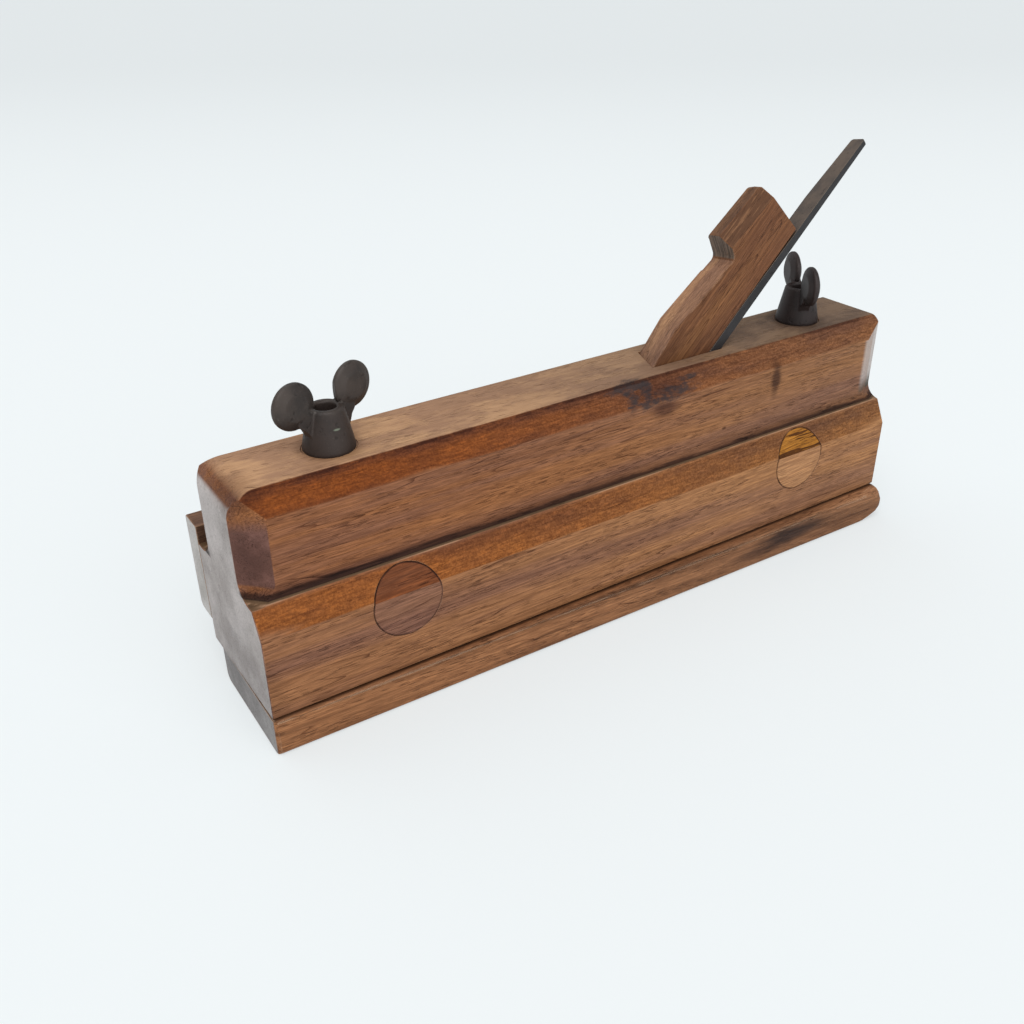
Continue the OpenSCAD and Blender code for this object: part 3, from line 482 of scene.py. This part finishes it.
def end_faces(n):
    """1 on the faces square to the plane's length."""
    return n.facing_either(TOEWARDS, HEELWARDS, 0.85, 0.95)


def edge_wear_and_highlight(n, radius, grain, low, high):
    """1 in broken runs along the sharp edges, where they are worn and where a painted highlight lies."""
    return n.times(n.edges(radius), n.rise(n.noise(grain), low, high))


def lengthwise(n, x, *pairs):
    """A colour for each pair, changing slowly from the pair's toe colour to its heel colour."""
    share = n.rise(x, TOE_X + 20.0 * MM, HEEL_X - 10.0 * MM)
    return [n.mix(share, toe, heel) for toe, heel in pairs]


def stock_wood():
    """The stock: khaki top, orange-brown chamfers, pinkish sides, silvery toe and painted shade in the coves.
    """
    n = Nodes("stock_wood")
    x, y, z = n.axes()
    wood = Figure(n, 0.006, 0.37)
    waver = n.plus(z, n.sway(n.noise((35.0, 60.0, 60.0), 5.0), 3.0 * MM))
    outside = n.rise(n.math("ABSOLUTE", y), WAIST_Y - 6.0 * MM, WAIST_Y - 3.0 * MM)
    colour = stock_faces(n, wood, x, z, waver)
    ledge = n.band(z, *LEDGE_BAND)
    colour = n.mix(n.times(ledge, outside), colour, n.shade(wood.streaks, LEDGE, LEDGE_STREAK_TINT))
    colour = stock_corners(n, wood, colour, x, waver)
    colour = n.mix(end_faces(n), colour, end_grain(n, END_LIGHT, END_DARK))
    colour = stock_dirt_and_shade(n, colour, y, z)
    # A pale rubbed line, partly a painted highlight, in broken runs along the arris at the ledge's edge
    rubbed = n.band(z, *RUBBED_HIGHLIGHT_BAND)
    broken = n.rise(n.noise((40.0, 300.0, 300.0), 4.0), 0.48, 0.6)
    colour = n.mix(n.times(n.times(n.times(rubbed, outside), broken), 0.5), colour, LEDGE_RUBBED_HIGHLIGHT)
    rim = n.times(n.rise(z, TOP_Z - 1.1 * MM, TOP_Z - 0.6 * MM), n.facing(NEAR_RIM, 0.9, 0.97))
    colour = n.shade(n.times(rim, n.rise(wood.clouds, 0.9, 0.1)), colour, RIM_TINT)
    # Worn edges, lightened also as a painted highlight
    wear_and_highlight = edge_wear_and_highlight(n, 0.5 * MM, (45.0, 240.0, 240.0), 0.44, 0.6)
    colour = n.mix(n.times(wear_and_highlight, 0.5), colour, WORN_EDGE_HIGHLIGHT)
    colour = plug_outlines(n, colour, x, y, z)
    return wood.finish(colour, 0.5, 0.1 * MM, 0.14)


def stock_faces(n, wood, x, z, waver):
    """The sides, the facet below the shoulder, the top's chamfers, the top and the shoulder's flat ledge."""
    side = wood.colour(*lengthwise(n, x, SIDE_MAUVE, SIDE_TAN))
    low_side = wood.colour(*lengthwise(n, x, LOW_SIDE_MAUVE, LOW_SIDE_TAN))
    below = n.rise(z, SHOULDER_Z + 1.0 * MM, SHOULDER_Z - 1.0 * MM)
    colour = n.mix(below, side, low_side)
    slope = n.times(n.facing_either(NEAR_CHAMFER, FAR_CHAMFER, 0.88, 0.98), n.rise(waver, *CHAMFER_FOOT))
    colour = n.mix(slope, colour, wood.ray_colour(*lengthwise(n, x, CHAMFER_RED, CHAMFER_ORANGE)))
    lean = n.times(n.times(n.facing(NEAR_FACET, 0.965, 0.99), below), n.rise(waver, *FACET_FOOT))
    colour = n.mix(lean, colour, wood.ray_colour(*lengthwise(n, x, FACET_RED, FACET_ORANGE)))
    up = n.facing(UPWARDS, 0.75, 0.97)
    colour = n.mix(up, colour, wood.worn_colour(*lengthwise(n, x, TOP_DULL, TOP_TAN)))
    shelf = n.times(up, n.rise(z, SHOULDER_Z + 6.0 * MM, SHOULDER_Z + 2.0 * MM))
    return n.mix(shelf, colour, LEDGE)


def stock_corners(n, wood, colour, x, waver):
    """The plum-brown chamfers at the toe, and a painted glare on and beside the heel's near chamfer, going dark
    green below.
    """
    toe_corner = n.facing_either(NEAR_TOE_CORNER, FAR_TOE_CORNER, 0.93, 0.98)
    toe_corner = n.times(toe_corner, n.rise(waver, *PLUM_TOP))
    colour = n.mix(toe_corner, colour, wood.worn_colour(PLUM_DARK, PLUM_LIGHT))
    heel_corner = n.facing(HEEL_CORNER, 0.97, 0.99)
    above = n.rise(waver, LEDGE_EDGE + 3.0 * MM, LEDGE_EDGE + 5.0 * MM)
    beside = n.times(n.facing(NEARWARDS, 0.9, 0.99), above)
    beside = n.times(beside, n.rise(x, HEEL_X - 11.2 * MM, HEEL_X - 9.2 * MM))
    # Painted glare on and beside the heel's near chamfer, going dark green below
    heel_glare = n.mix(n.rise(waver, *GLARE_FOOT), HEEL_GLARE, HEEL_GREEN)
    return n.mix(n.larger(n.times(heel_corner, 0.9), n.times(beside, 0.6)), colour, heel_glare)


def stock_dirt_and_shade(n, colour, y, z):
    """Painted shade in the coves, ink, the stains of use, a painted shadow round each nut, and a darkening
    towards the sole.
    """
    smear = n.noise((16.0, 150.0, 150.0), 4.0, 0.6)
    ragged = n.noise((90.0, 700.0, 700.0), 4.0, 0.7)
    height = n.plus(n.plus(z, n.sway(smear, 4.2 * MM)), n.sway(ragged, 2.0 * MM))
    outside = n.rise(n.math("ABSOLUTE", y), 10.0 * MM, 13.0 * MM)
    # Painted shade: the coves darken softly towards their crease, and deeply along it
    cove = n.times(outside, n.rise(z, LEDGE_EDGE + 0.3 * MM, LEDGE_EDGE + 0.6 * MM))
    cove_shade = n.times(cove, n.rise(height, LEDGE_EDGE + 5.4 * MM, LEDGE_EDGE + 1.4 * MM))
    colour = n.shade(n.times(cove_shade, 0.7), colour, COVE_SHADE_TINT)
    crease_shade = n.times(cove, n.rise(height, LEDGE_EDGE + 2.3 * MM, LEDGE_EDGE + 1.3 * MM))
    colour = n.shade(n.times(crease_shade, 0.92), colour, COVE_CREASE_SHADE_TINT)
    dried = n.rise(n.noise((420.0, 900.0, 900.0), 4.0), 0.36, 0.56)
    ink_cover = n.plus(0.45, n.times(dried, 0.45))
    for centre, reach in INK_BLOTS:
        blot = n.spot(centre, reach, 0.55, (230.0, 420.0, 420.0), sharp=0.25)
        colour = n.mix(n.times(blot, ink_cover), colour, INK)
    for centre, reach, strength, tint in STAINS:
        colour = n.shade(n.times(n.spot(centre, reach), strength), colour, tint)
    # A painted shadow round each wing nut's foot, together with the stain of the shallow dent it pressed into
    # the wood
    for place in BOLT_PLACES:
        nut_shadow_ring = n.spot((place, 0.0, TOP_Z), (10.5 * MM, 10.5 * MM, 3.0 * MM), 0.15, sharp=0.5)
        colour = n.shade(n.times(nut_shadow_ring, 0.55), colour, NUT_SHADOW_RING_TINT)
    foot = n.times(n.rise(z, SOLE_Z + 2.5 * MM, SOLE_Z), n.rise(smear, 0.3, 0.6))
    return n.shade(n.times(foot, 0.5), colour, STOCK_FOOT_TINT)


def plug_outlines(n, colour, x, y, z):
    """A thin dark joint round each plug, uneven in width."""
    wander = n.sway(n.noise(evenly(160.0)), 0.5 * MM)
    filled = n.rise(n.noise(evenly(130.0), 2.0, place=(0.3, 0.0, 0.2)), 0.62, 0.4)
    near = n.rise(y, -15.0 * MM, -17.0 * MM)
    for middle in PLUG_MIDDLES:
        across = n.plus(x, -middle[0])
        up = n.plus(z, -middle[2])
        reach = n.math("SQRT", n.plus(n.times(across, across), n.times(up, up)))
        off = n.math("ABSOLUTE", n.plus(n.plus(reach, wander), -PLUG_RADIUS))
        joint = n.times(n.rise(off, 0.4 * MM, 0.08 * MM), near)
        colour = n.shade(n.times(joint, n.plus(0.4, n.times(filled, 0.5))), colour, PLUG_JOINT_TINT)
    return colour


def fence_wood():
    """The fence: brown, streaked darker, with a pale worn upper edge that is partly a painted highlight, a
    bluish stain, and painted shade beside the stock and underneath.
    """
    n = Nodes("fence_wood")
    x, y, z = n.axes()
    wood = Figure(n, -0.02, 1.21)
    colour = wood.colour(*lengthwise(n, x, FENCE_RED, FENCE_TAN))
    streak = n.noise((9.0, 420.0, 420.0), place=(3.1, 0.4, 0.2))
    colour = n.shade(n.times(n.rise(streak, 0.52, 0.72), 0.7), colour, FENCE_STREAK_TINT)
    for centre, reach, strength, tint in FENCE_STAINS:
        stain = n.spot(centre, reach, 0.3, (110.0, 420.0, 420.0))
        colour = n.shade(n.times(stain, strength), colour, tint)
    # A dark joint with painted shade along the fence's top, beside and under the stock
    under_stock = n.rise(z, SOLE_Z - 0.9 * MM, SOLE_Z - 0.1 * MM)
    joint = n.times(under_stock, n.rise(y, NEAR_Y - 1.5 * MM, NEAR_Y - 0.2 * MM))
    colour = n.shade(n.times(joint, 0.9), colour, FENCE_JOINT_SHADE_TINT)
    colour = n.mix(end_faces(n), colour, end_grain(n, FENCE_END_LIGHT, FENCE_END_DARK))
    # Painted shade on the faces that look down
    colour = n.shade(n.times(n.facing(DOWNWARDS, 0.8, 0.95), 0.5), colour, UNDERSIDE_SHADE_TINT)
    # A pale worn upper edge that is partly a painted highlight along the rounding
    wear_and_highlight = edge_wear_and_highlight(n, 0.9 * MM, (50.0, 260.0, 260.0), 0.3, 0.46)
    colour = n.mix(n.times(wear_and_highlight, 0.8), colour, FENCE_EDGE_HIGHLIGHT)
    return wood.finish(colour, 0.5, 0.12 * MM)


def stop_wood():
    """The depth stop: like the stock, a little paler, with painted shade on its face towards the stock, and
    grey on its ends.
    """
    n = Nodes("stop_wood")
    wood = Figure(n, 0.02, 2.13)
    colour = wood.colour(STOP_MAUVE, STOP_TAN)
    # Painted shade in the gap between the stop and the stock, on the face that looks towards it
    colour = n.shade(n.times(n.facing(NEARWARDS, 0.6, 0.9), 0.9), colour, STOP_GAP_SHADE_TINT)
    colour = n.shade(n.times(n.facing(UPWARDS, 0.6, 0.9), 0.9), colour, STOP_TOP_TINT)
    colour = n.mix(end_faces(n), colour, end_grain(n, STOP_END_LIGHT, STOP_END_DARK))
    # Worn edges, lightened also as a painted highlight
    wear_and_highlight = edge_wear_and_highlight(n, 0.6 * MM, (50.0, 200.0, 200.0), 0.4, 0.6)
    colour = n.mix(n.times(wear_and_highlight, 0.5), colour, WORN_EDGE_HIGHLIGHT)
    return wood.finish(colour, 0.52, 0.12 * MM)


def plug_wood(name, facet_colours, face_colours, seed, split):
    """A plug with its grain a little askew, brighter and split on the facet, with a dark joint round it."""
    n = Nodes(name)
    wood = Figure(n, 0.04, seed)
    facet = n.facing(NEAR_FACET, 0.96, 0.985)
    colour = n.mix(facet, wood.colour(*face_colours), wood.colour(*facet_colours))
    cracks = n.rise(n.noise((50.0, 900.0, 700.0), place=(seed, 0.0, 0.0)), 0.57, 0.61)
    colour = n.shade(n.times(cracks, n.times(facet, split)), colour, PLUG_CRACK_TINT)
    colour = plug_outlines(n, colour, *n.axes())
    return wood.finish(colour, 0.5, 0.1 * MM, 0.0)


def wedge_wood():
    """The wedge: orange-brown, mauve in front, darker at foot and head chamfer, grey in the notch."""
    n = Nodes("wedge_wood")
    z = n.axes()[2]
    wood = Figure(n, BED_LEAN, 0.83)
    colour = wood.colour(WEDGE_MAUVE, WEDGE_TAN)
    face = n.facing(WEDGE_FACE, 0.92, 0.97)
    colour = n.mix(face, colour, wood.colour(WEDGE_FACE_MAUVE, WEDGE_FACE_TAN))
    head = n.times(face, n.rise(z, TOP_Z + 29.0 * MM, TOP_Z + 33.0 * MM))
    colour = n.mix(n.times(head, 0.8), colour, wood.ray_colour(HEAD_DARK, HEAD_LIGHT))
    chamfer = n.facing(HEAD_CHAMFER, 0.965, 0.985)
    scored = n.rise(n.noise((22.0, 900.0, 900.0), place=(0.7, 0.2, 0.4), source=wood.along), 0.5, 0.62)
    colour = n.mix(n.times(chamfer, 0.85), colour, n.mix(scored, HEAD_DARK, HEAD_LIGHT))
    notch = n.facing(NOTCH_WALL, 0.8, 0.93)
    sawn = n.rise(n.noise((60.0, 1300.0, 60.0), source=wood.along), 0.4, 0.62)
    colour = n.mix(notch, colour, n.mix(sawn, NOTCH_DARK, NOTCH_LIGHT))
    colour = n.mix(n.facing(HEAD_END, 0.8, 0.95), colour, end_grain(n, END_LIGHT, END_DARK))
    foot = n.rise(z, TOP_Z + 16.0 * MM, TOP_Z - 1.0 * MM)
    colour = n.shade(n.times(foot, 0.5), colour, WEDGE_FOOT_TINT)
    # Worn edges, lightened also as a painted highlight
    wear_and_highlight = edge_wear_and_highlight(n, 0.6 * MM, evenly(90.0), 0.4, 0.6)
    colour = n.mix(n.times(wear_and_highlight, 0.45), colour, WORN_EDGE_HIGHLIGHT)
    return wood.finish(colour, 0.48, 0.12 * MM)


def nicker_wedge_wood():
    """The nicker's little wedge, in plain brown wood that stands upright."""
    wood = Figure(Nodes("nicker_wedge_wood"), math.radians(90.0), 3.4)
    return wood.finish(wood.colour(STOP_MAUVE, STOP_TAN), 0.55, 0.1 * MM, 0.0)


def old_iron(n, ground, patch, speck):
    """Colour, relief and clouds of iron under patina: cloudy, speckled and pitted."""
    clouds = n.noise(evenly(90.0), 5.0, 0.65)
    fine = n.noise(evenly(1500.0), 3.0, 0.7)
    pits = n.noise(evenly(520.0), 2.0)
    colour = n.mix(n.rise(clouds, 0.38, 0.66), ground, patch)
    colour = n.mix(n.times(n.rise(fine, 0.6, 0.78), 0.5), colour, speck)
    colour = n.shade(n.rise(pits, 0.62, 0.72), colour, IRON_PIT_TINT)
    height = n.plus(n.times(n.rise(pits, 0.6, 0.75), -1.0), n.times(fine, 0.4))
    return colour, height, clouds


def blade_steel(name, face, edge):
    """The iron and the nicker: brown-grey faces and darker edges, with a rubbed line where they meet."""
    n = Nodes(name)
    colour, height, clouds = old_iron(n, *face)
    side_colour = old_iron(n, *edge)[0]
    colour = n.mix(n.facing_either(NEARWARDS, FARWARDS, 0.8, 0.95), colour, side_colour)
    rubbed = n.times(n.edges(0.3 * MM), n.rise(clouds, 0.35, 0.6))
    colour = n.mix(n.times(rubbed, 0.45), colour, face[2])
    return n.finish(colour, 0.5, height, 0.04 * MM, metal=0.3, shine=0.4)


def cast_nut_iron():
    """The wing nuts: dark matt casting, rubbed on the ears' bevels with a painted highlight there, darker on
    the bosses and at the rear.
    """
    n = Nodes("nut_iron")
    colour, height, clouds = old_iron(n, *NUT_GREY)
    x, _, z = n.axes()
    # Pale rubbed bevels on the ears, partly a painted highlight
    rubbed = n.times(n.edges(0.9 * MM, 0.004, 0.06), n.rise(clouds, 0.36, 0.6))
    colour = n.mix(n.times(rubbed, 0.6), colour, NUT_GREY[2])
    boss = n.rise(z, TOP_Z + 14.0 * MM, TOP_Z + 9.0 * MM)
    colour = n.shade(n.times(boss, 0.8), colour, NUT_BOSS_TINT)
    colour = n.shade(n.rise(x, -1.0 * MM, 1.0 * MM), colour, REAR_NUT_TINT)
    verdigris = n.spot(GREEN_SPECK, (1.2 * MM, 2.0 * MM, 0.35 * MM), 0.3, sharp=0.3)
    colour = n.mix(n.times(verdigris, 0.45), colour, VERDIGRIS)
    return n.finish(colour, 0.52, height, 0.08 * MM, metal=0.15, shine=0.4)


def rusty_steel(name, colours, rough):
    """Small steel parts, rusted to dark brown."""
    n = Nodes(name)
    colour, height, _ = old_iron(n, *colours)
    return n.finish(colour, rough, height, 0.07 * MM, metal=0.25, shine=0.3)


# Which finish each node wears
FINISHES = {
    "stock": stock_wood(),
    "fence": fence_wood(),
    "depth_stop": stop_wood(),
    "wedge": wedge_wood(),
    "nicker_wedge": nicker_wedge_wood(),
    "front_plug": plug_wood("front_plug_wood", FRONT_PLUG_FACET, FRONT_PLUG_FACE, 0.5, 0.2),
    "rear_plug": plug_wood("rear_plug_wood", REAR_PLUG_FACET, REAR_PLUG_FACE, 2.7, 0.9),
    "iron": blade_steel("iron_steel", IRON_FACE, IRON_EDGE),
    "nicker": blade_steel("nicker_steel", NICKER_FACE, NICKER_FACE),
}
FINISHES_IN_PAIRS = {
    "wing_nut": cast_nut_iron(),
    "bolt": rusty_steel("bolt_steel", BOLT_RUST, 0.75),
    "clamp_washer": rusty_steel("washer_steel", FITTING_BROWN, 0.6),
    "slot_plate": rusty_steel("plate_steel", FITTING_BROWN, 0.5),
    "plate_pins": rusty_steel("pin_steel", FITTING_BROWN, 0.45),
    "stop_screw": rusty_steel("screw_steel", FITTING_BROWN, 0.45),
}
for fitting, finish in FINISHES_IN_PAIRS.items():
    FINISHES["front_" + fitting] = finish
    FINISHES["rear_" + fitting] = finish

# Wear and casting skin. A corner has its ball's centre and radius, and the angle its cuts rise from
SHARP_ANGLE = math.radians(35.0)
FLAT_ANGLE = math.radians(0.5)
MERGE_DISTANCE = 0.002 * MM
FENCE_CORNERS = (
    ((117.4 * MM, -23.4 * MM, 7.6 * MM), 4.4 * MM, 0.0),
    ((117.6 * MM, -23.6 * MM, 4.2 * MM), 4.2 * MM, -85.0),
)
CUT_TURNS = (-75.0, -55.0, -35.0, -15.0)
CUT_RISES = (20.0, 35.0, 50.0, 65.0)
MOULD_GRIT = 0.22 * MM
SMOOTHING_ROUNDS = 2
PLANED_CREASE = 22.0
CAST_CREASE = 80.0


def node_shape(node):
    """A copy of the node's mesh as a bmesh, with its loose triangles merged."""
    shape = bmesh.new()
    shape.from_mesh(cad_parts[node].data)
    bmesh.ops.remove_doubles(shape, verts=shape.verts, dist=MERGE_DISTANCE)
    return shape


def is_worn_edge(edge):
    """Wear rounds the sharp edges that stand out, and not those of a pocket's bottom."""
    return edge.is_manifold and edge.is_convex and edge.calc_face_angle(0.0) > SHARP_ANGLE


def worn_copy(node, body, wear, corners=()):
    """Stands in for a node, with its outer edges and the given corners really rounded by wear."""
    shape = node_shape(node)
    bmesh.ops.dissolve_limit(shape, angle_limit=FLAT_ANGLE, verts=shape.verts, edges=shape.edges)
    for centre, radius, lowest in corners:
        round_corner(shape, Vector(centre), radius, lowest)
    edges = [edge for edge in shape.edges if is_worn_edge(edge)]
    bmesh.ops.bevel(shape, geom=edges, offset=wear, offset_type="OFFSET", segments=3, profile=0.5,
                    affect="EDGES", material=-1, clamp_overlap=False)
    piece = new_piece("worn_" + node, shape, body, PLANED_CREASE)
    weights = piece.modifiers.new("flat_faces", "WEIGHTED_NORMAL")
    weights.keep_sharp = True
    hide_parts(node)
    return piece


def round_corner(shape, centre, radius, lowest):
    """Cuts a corner that points to +X and -Y round, with planes that touch a ball."""
    for turn in CUT_TURNS:
        for step in CUT_RISES:
            rise = math.radians(lowest + step)
            flat = math.cos(rise)
            out = Vector((flat * math.cos(math.radians(turn)), flat * math.sin(math.radians(turn)),
                          math.sin(rise)))
            cut = bmesh.ops.bisect_plane(shape, geom=shape.verts[:] + shape.edges[:] + shape.faces[:],
                                         dist=0.0001 * MM, plane_co=centre + out * radius, plane_no=out,
                                         clear_outer=True)
            rim = [part for part in cut["geom_cut"] if isinstance(part, bmesh.types.BMEdge)]
            bmesh.ops.edgenet_fill(shape, edges=rim)


def cast_copy(node, body):
    """Stands in for a cast node, with the soft fillets that a sand mould leaves."""
    mould = new_piece("mould_" + node, node_shape(node), body, PLANED_CREASE)
    remesh = mould.modifiers.new("grit", "REMESH")
    remesh.mode = "VOXEL"
    remesh.voxel_size = MOULD_GRIT
    fine = bpy.data.meshes.new_from_object(mould.evaluated_get(bpy.context.evaluated_depsgraph_get()))
    bpy.data.objects.remove(mould)
    shape = bmesh.new()
    shape.from_mesh(fine)
    for _ in range(SMOOTHING_ROUNDS):
        bmesh.ops.smooth_vert(shape, verts=shape.verts, factor=0.5,
                              use_axis_x=True, use_axis_y=True, use_axis_z=True)
    piece = new_piece("cast_" + node, shape, body, CAST_CREASE)
    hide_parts(node)
    return piece


def new_piece(name, shape, body, crease):
    """Makes an object at the origin from a bmesh, smooth but for its creases, and hangs it on a body."""
    mesh = bpy.data.meshes.new(name)
    shape.to_mesh(mesh)
    shape.free()
    mesh.shade_smooth()
    mesh.set_sharp_from_angle(angle=math.radians(crease))
    piece = bpy.data.objects.new(name, mesh)
    bpy.context.scene.collection.objects.link(piece)
    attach(piece, body)
    return piece


def dress(piece, node_name):
    """Gives a piece the finish of a node as its only material."""
    piece.data.materials.clear()
    piece.data.materials.append(FINISHES[node_name])


for node_name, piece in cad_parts.items():
    dress(piece, node_name)

PIECES = {
    "stock": worn_copy("stock", "body", 0.45 * MM),
    "fence": worn_copy("fence", "fence", 0.5 * MM, FENCE_CORNERS),
    "depth_stop": worn_copy("depth_stop", "stop", 0.45 * MM),
    "wedge": worn_copy("wedge", "wedge", 0.4 * MM),
    "iron": worn_copy("iron", "iron", 0.2 * MM),
    "front_wing_nut": cast_copy("front_wing_nut", "front_nut"),
    "rear_wing_nut": cast_copy("rear_wing_nut", "rear_nut"),
}
for node_name, piece in PIECES.items():
    dress(piece, node_name)

# The photograph's camera: its place in metres, its turns in degrees, its lens and sensor in millimetres
CAMERA_PLACE = (-183.936 * MM, -240.853 * MM, 199.211 * MM)
CAMERA_HEADING = 33.0
CAMERA_TILT = 60.39
CAMERA_ROLL = 0.73
FOCAL_LENGTH = 36.775
SENSOR = 36.0

# The studio: the floor's reach, its colours near and far, where they change, its glow, and the surround
FLOOR_REACH = 6.0
FLOOR_NEAR = (0.86, 0.9, 0.91, 1.0)
FLOOR_FAR = (0.74, 0.775, 0.785, 1.0)
FLOOR_FADE = (0.0, 1.6)
FLOOR_GLOW = 0.5
SURROUND_LIGHT = (0.9, 0.93, 0.95, 1.0)
SURROUND_STRENGTH = 0.55

# Soft lamps: where each one's light comes from, its softness in degrees and its strength
SUNS = {
    "key_sun": ((-0.35, -0.45, 1.0), 50.0, 1.3),
    "front_sun": ((0.1, -1.0, 0.45), 60.0, 0.9),
    "back_sun": ((-0.3, 0.8, 0.9), 60.0, 0.4),
}


def place_camera():
    """The photograph's view: from the toe, on the near side, looking down on the plane."""
    camera = bpy.data.cameras.new("photo_camera")
    camera.sensor_width = SENSOR
    camera.sensor_fit = "HORIZONTAL"
    camera.lens = FOCAL_LENGTH
    camera.clip_start = 0.01
    camera.clip_end = 20.0
    holder = bpy.data.objects.new("photo_camera", camera)
    bpy.context.scene.collection.objects.link(holder)
    turn = Matrix.Rotation(math.radians(-CAMERA_HEADING), 4, "Z")
    tilt = Matrix.Rotation(math.radians(CAMERA_TILT), 4, "X")
    roll = Matrix.Rotation(math.radians(-CAMERA_ROLL), 4, "Z")
    holder.matrix_world = Matrix.Translation(CAMERA_PLACE) @ turn @ tilt @ roll
    bpy.context.scene.camera = holder


def floor_paint():
    """The floor's colour, a little greyer far away; the camera, gloss and glass see part of it as a glow."""
    n = Nodes("studio_floor")
    x, y, _ = n.axes()
    heading = math.radians(CAMERA_HEADING)
    away = n.plus(n.times(x, math.sin(heading)), n.times(y, math.cos(heading)))
    colour = n.mix(n.rise(away, *FLOOR_FADE), FLOOR_NEAR, FLOOR_FAR)
    paint = n.tree.nodes.new("ShaderNodeBsdfDiffuse")
    n.feed(paint.inputs["Color"], colour)
    glow = n.tree.nodes.new("ShaderNodeEmission")
    n.feed(glow.inputs["Color"], colour)
    ray = n.tree.nodes.new("ShaderNodeLightPath")
    seen = n.larger(ray.outputs["Is Camera Ray"], ray.outputs["Is Glossy Ray"])
    seen = n.larger(seen, ray.outputs["Is Transmission Ray"])
    blend = n.tree.nodes.new("ShaderNodeMixShader")
    n.feed(blend.inputs[0], n.times(seen, FLOOR_GLOW))
    n.link(paint.outputs[0], blend.inputs[1])
    n.link(glow.outputs[0], blend.inputs[2])
    output = n.tree.nodes.new("ShaderNodeOutputMaterial")
    n.link(blend.outputs[0], output.inputs["Surface"])
    return n.material


def studio_floor():
    """A large pale floor that catches the plane's soft shadow."""
    shape = bmesh.new()
    bmesh.ops.create_grid(shape, x_segments=1, y_segments=1, size=FLOOR_REACH)
    mesh = bpy.data.meshes.new("studio_floor")
    shape.to_mesh(mesh)
    shape.free()
    mesh.materials.append(floor_paint())
    floor = bpy.data.objects.new("studio_floor", mesh)
    bpy.context.scene.collection.objects.link(floor)


def studio_sun(name, direction, softness, strength):
    """A very soft white lamp, the same all over the floor, that shines from a direction."""
    lamp = bpy.data.lights.new(name, "SUN")
    lamp.angle = math.radians(softness)
    lamp.energy = strength
    holder = bpy.data.objects.new(name, lamp)
    holder.location = Vector(direction)
    holder.rotation_euler = Vector(direction).to_track_quat("Z", "Y").to_euler()
    bpy.context.scene.collection.objects.link(holder)


def studio_world():
    """An even surround that lights the plane, and that the camera sees in the far floor's colour."""
    world = bpy.data.worlds.new("studio")
    world.use_nodes = True
    nodes = world.node_tree.nodes
    links = world.node_tree.links
    light = nodes["Background"]
    light.inputs["Color"].default_value = SURROUND_LIGHT
    light.inputs["Strength"].default_value = SURROUND_STRENGTH
    backdrop = nodes.new("ShaderNodeBackground")
    backdrop.inputs["Color"].default_value = FLOOR_FAR
    ray = nodes.new("ShaderNodeLightPath")
    seen = nodes.new("ShaderNodeMath")
    seen.operation = "MAXIMUM"
    links.new(ray.outputs["Is Camera Ray"], seen.inputs[0])
    links.new(ray.outputs["Is Transmission Ray"], seen.inputs[1])
    blend = nodes.new("ShaderNodeMixShader")
    links.new(seen.outputs[0], blend.inputs[0])
    links.new(light.outputs[0], blend.inputs[1])
    links.new(backdrop.outputs[0], blend.inputs[2])
    links.new(blend.outputs[0], nodes["World Output"].inputs["Surface"])
    bpy.context.scene.world = world


place_camera()
studio_floor()
for sun_name, (direction, softness, strength) in SUNS.items():
    studio_sun(sun_name, direction, softness, strength)
studio_world()
bpy.context.scene.view_settings.view_transform = "Standard"
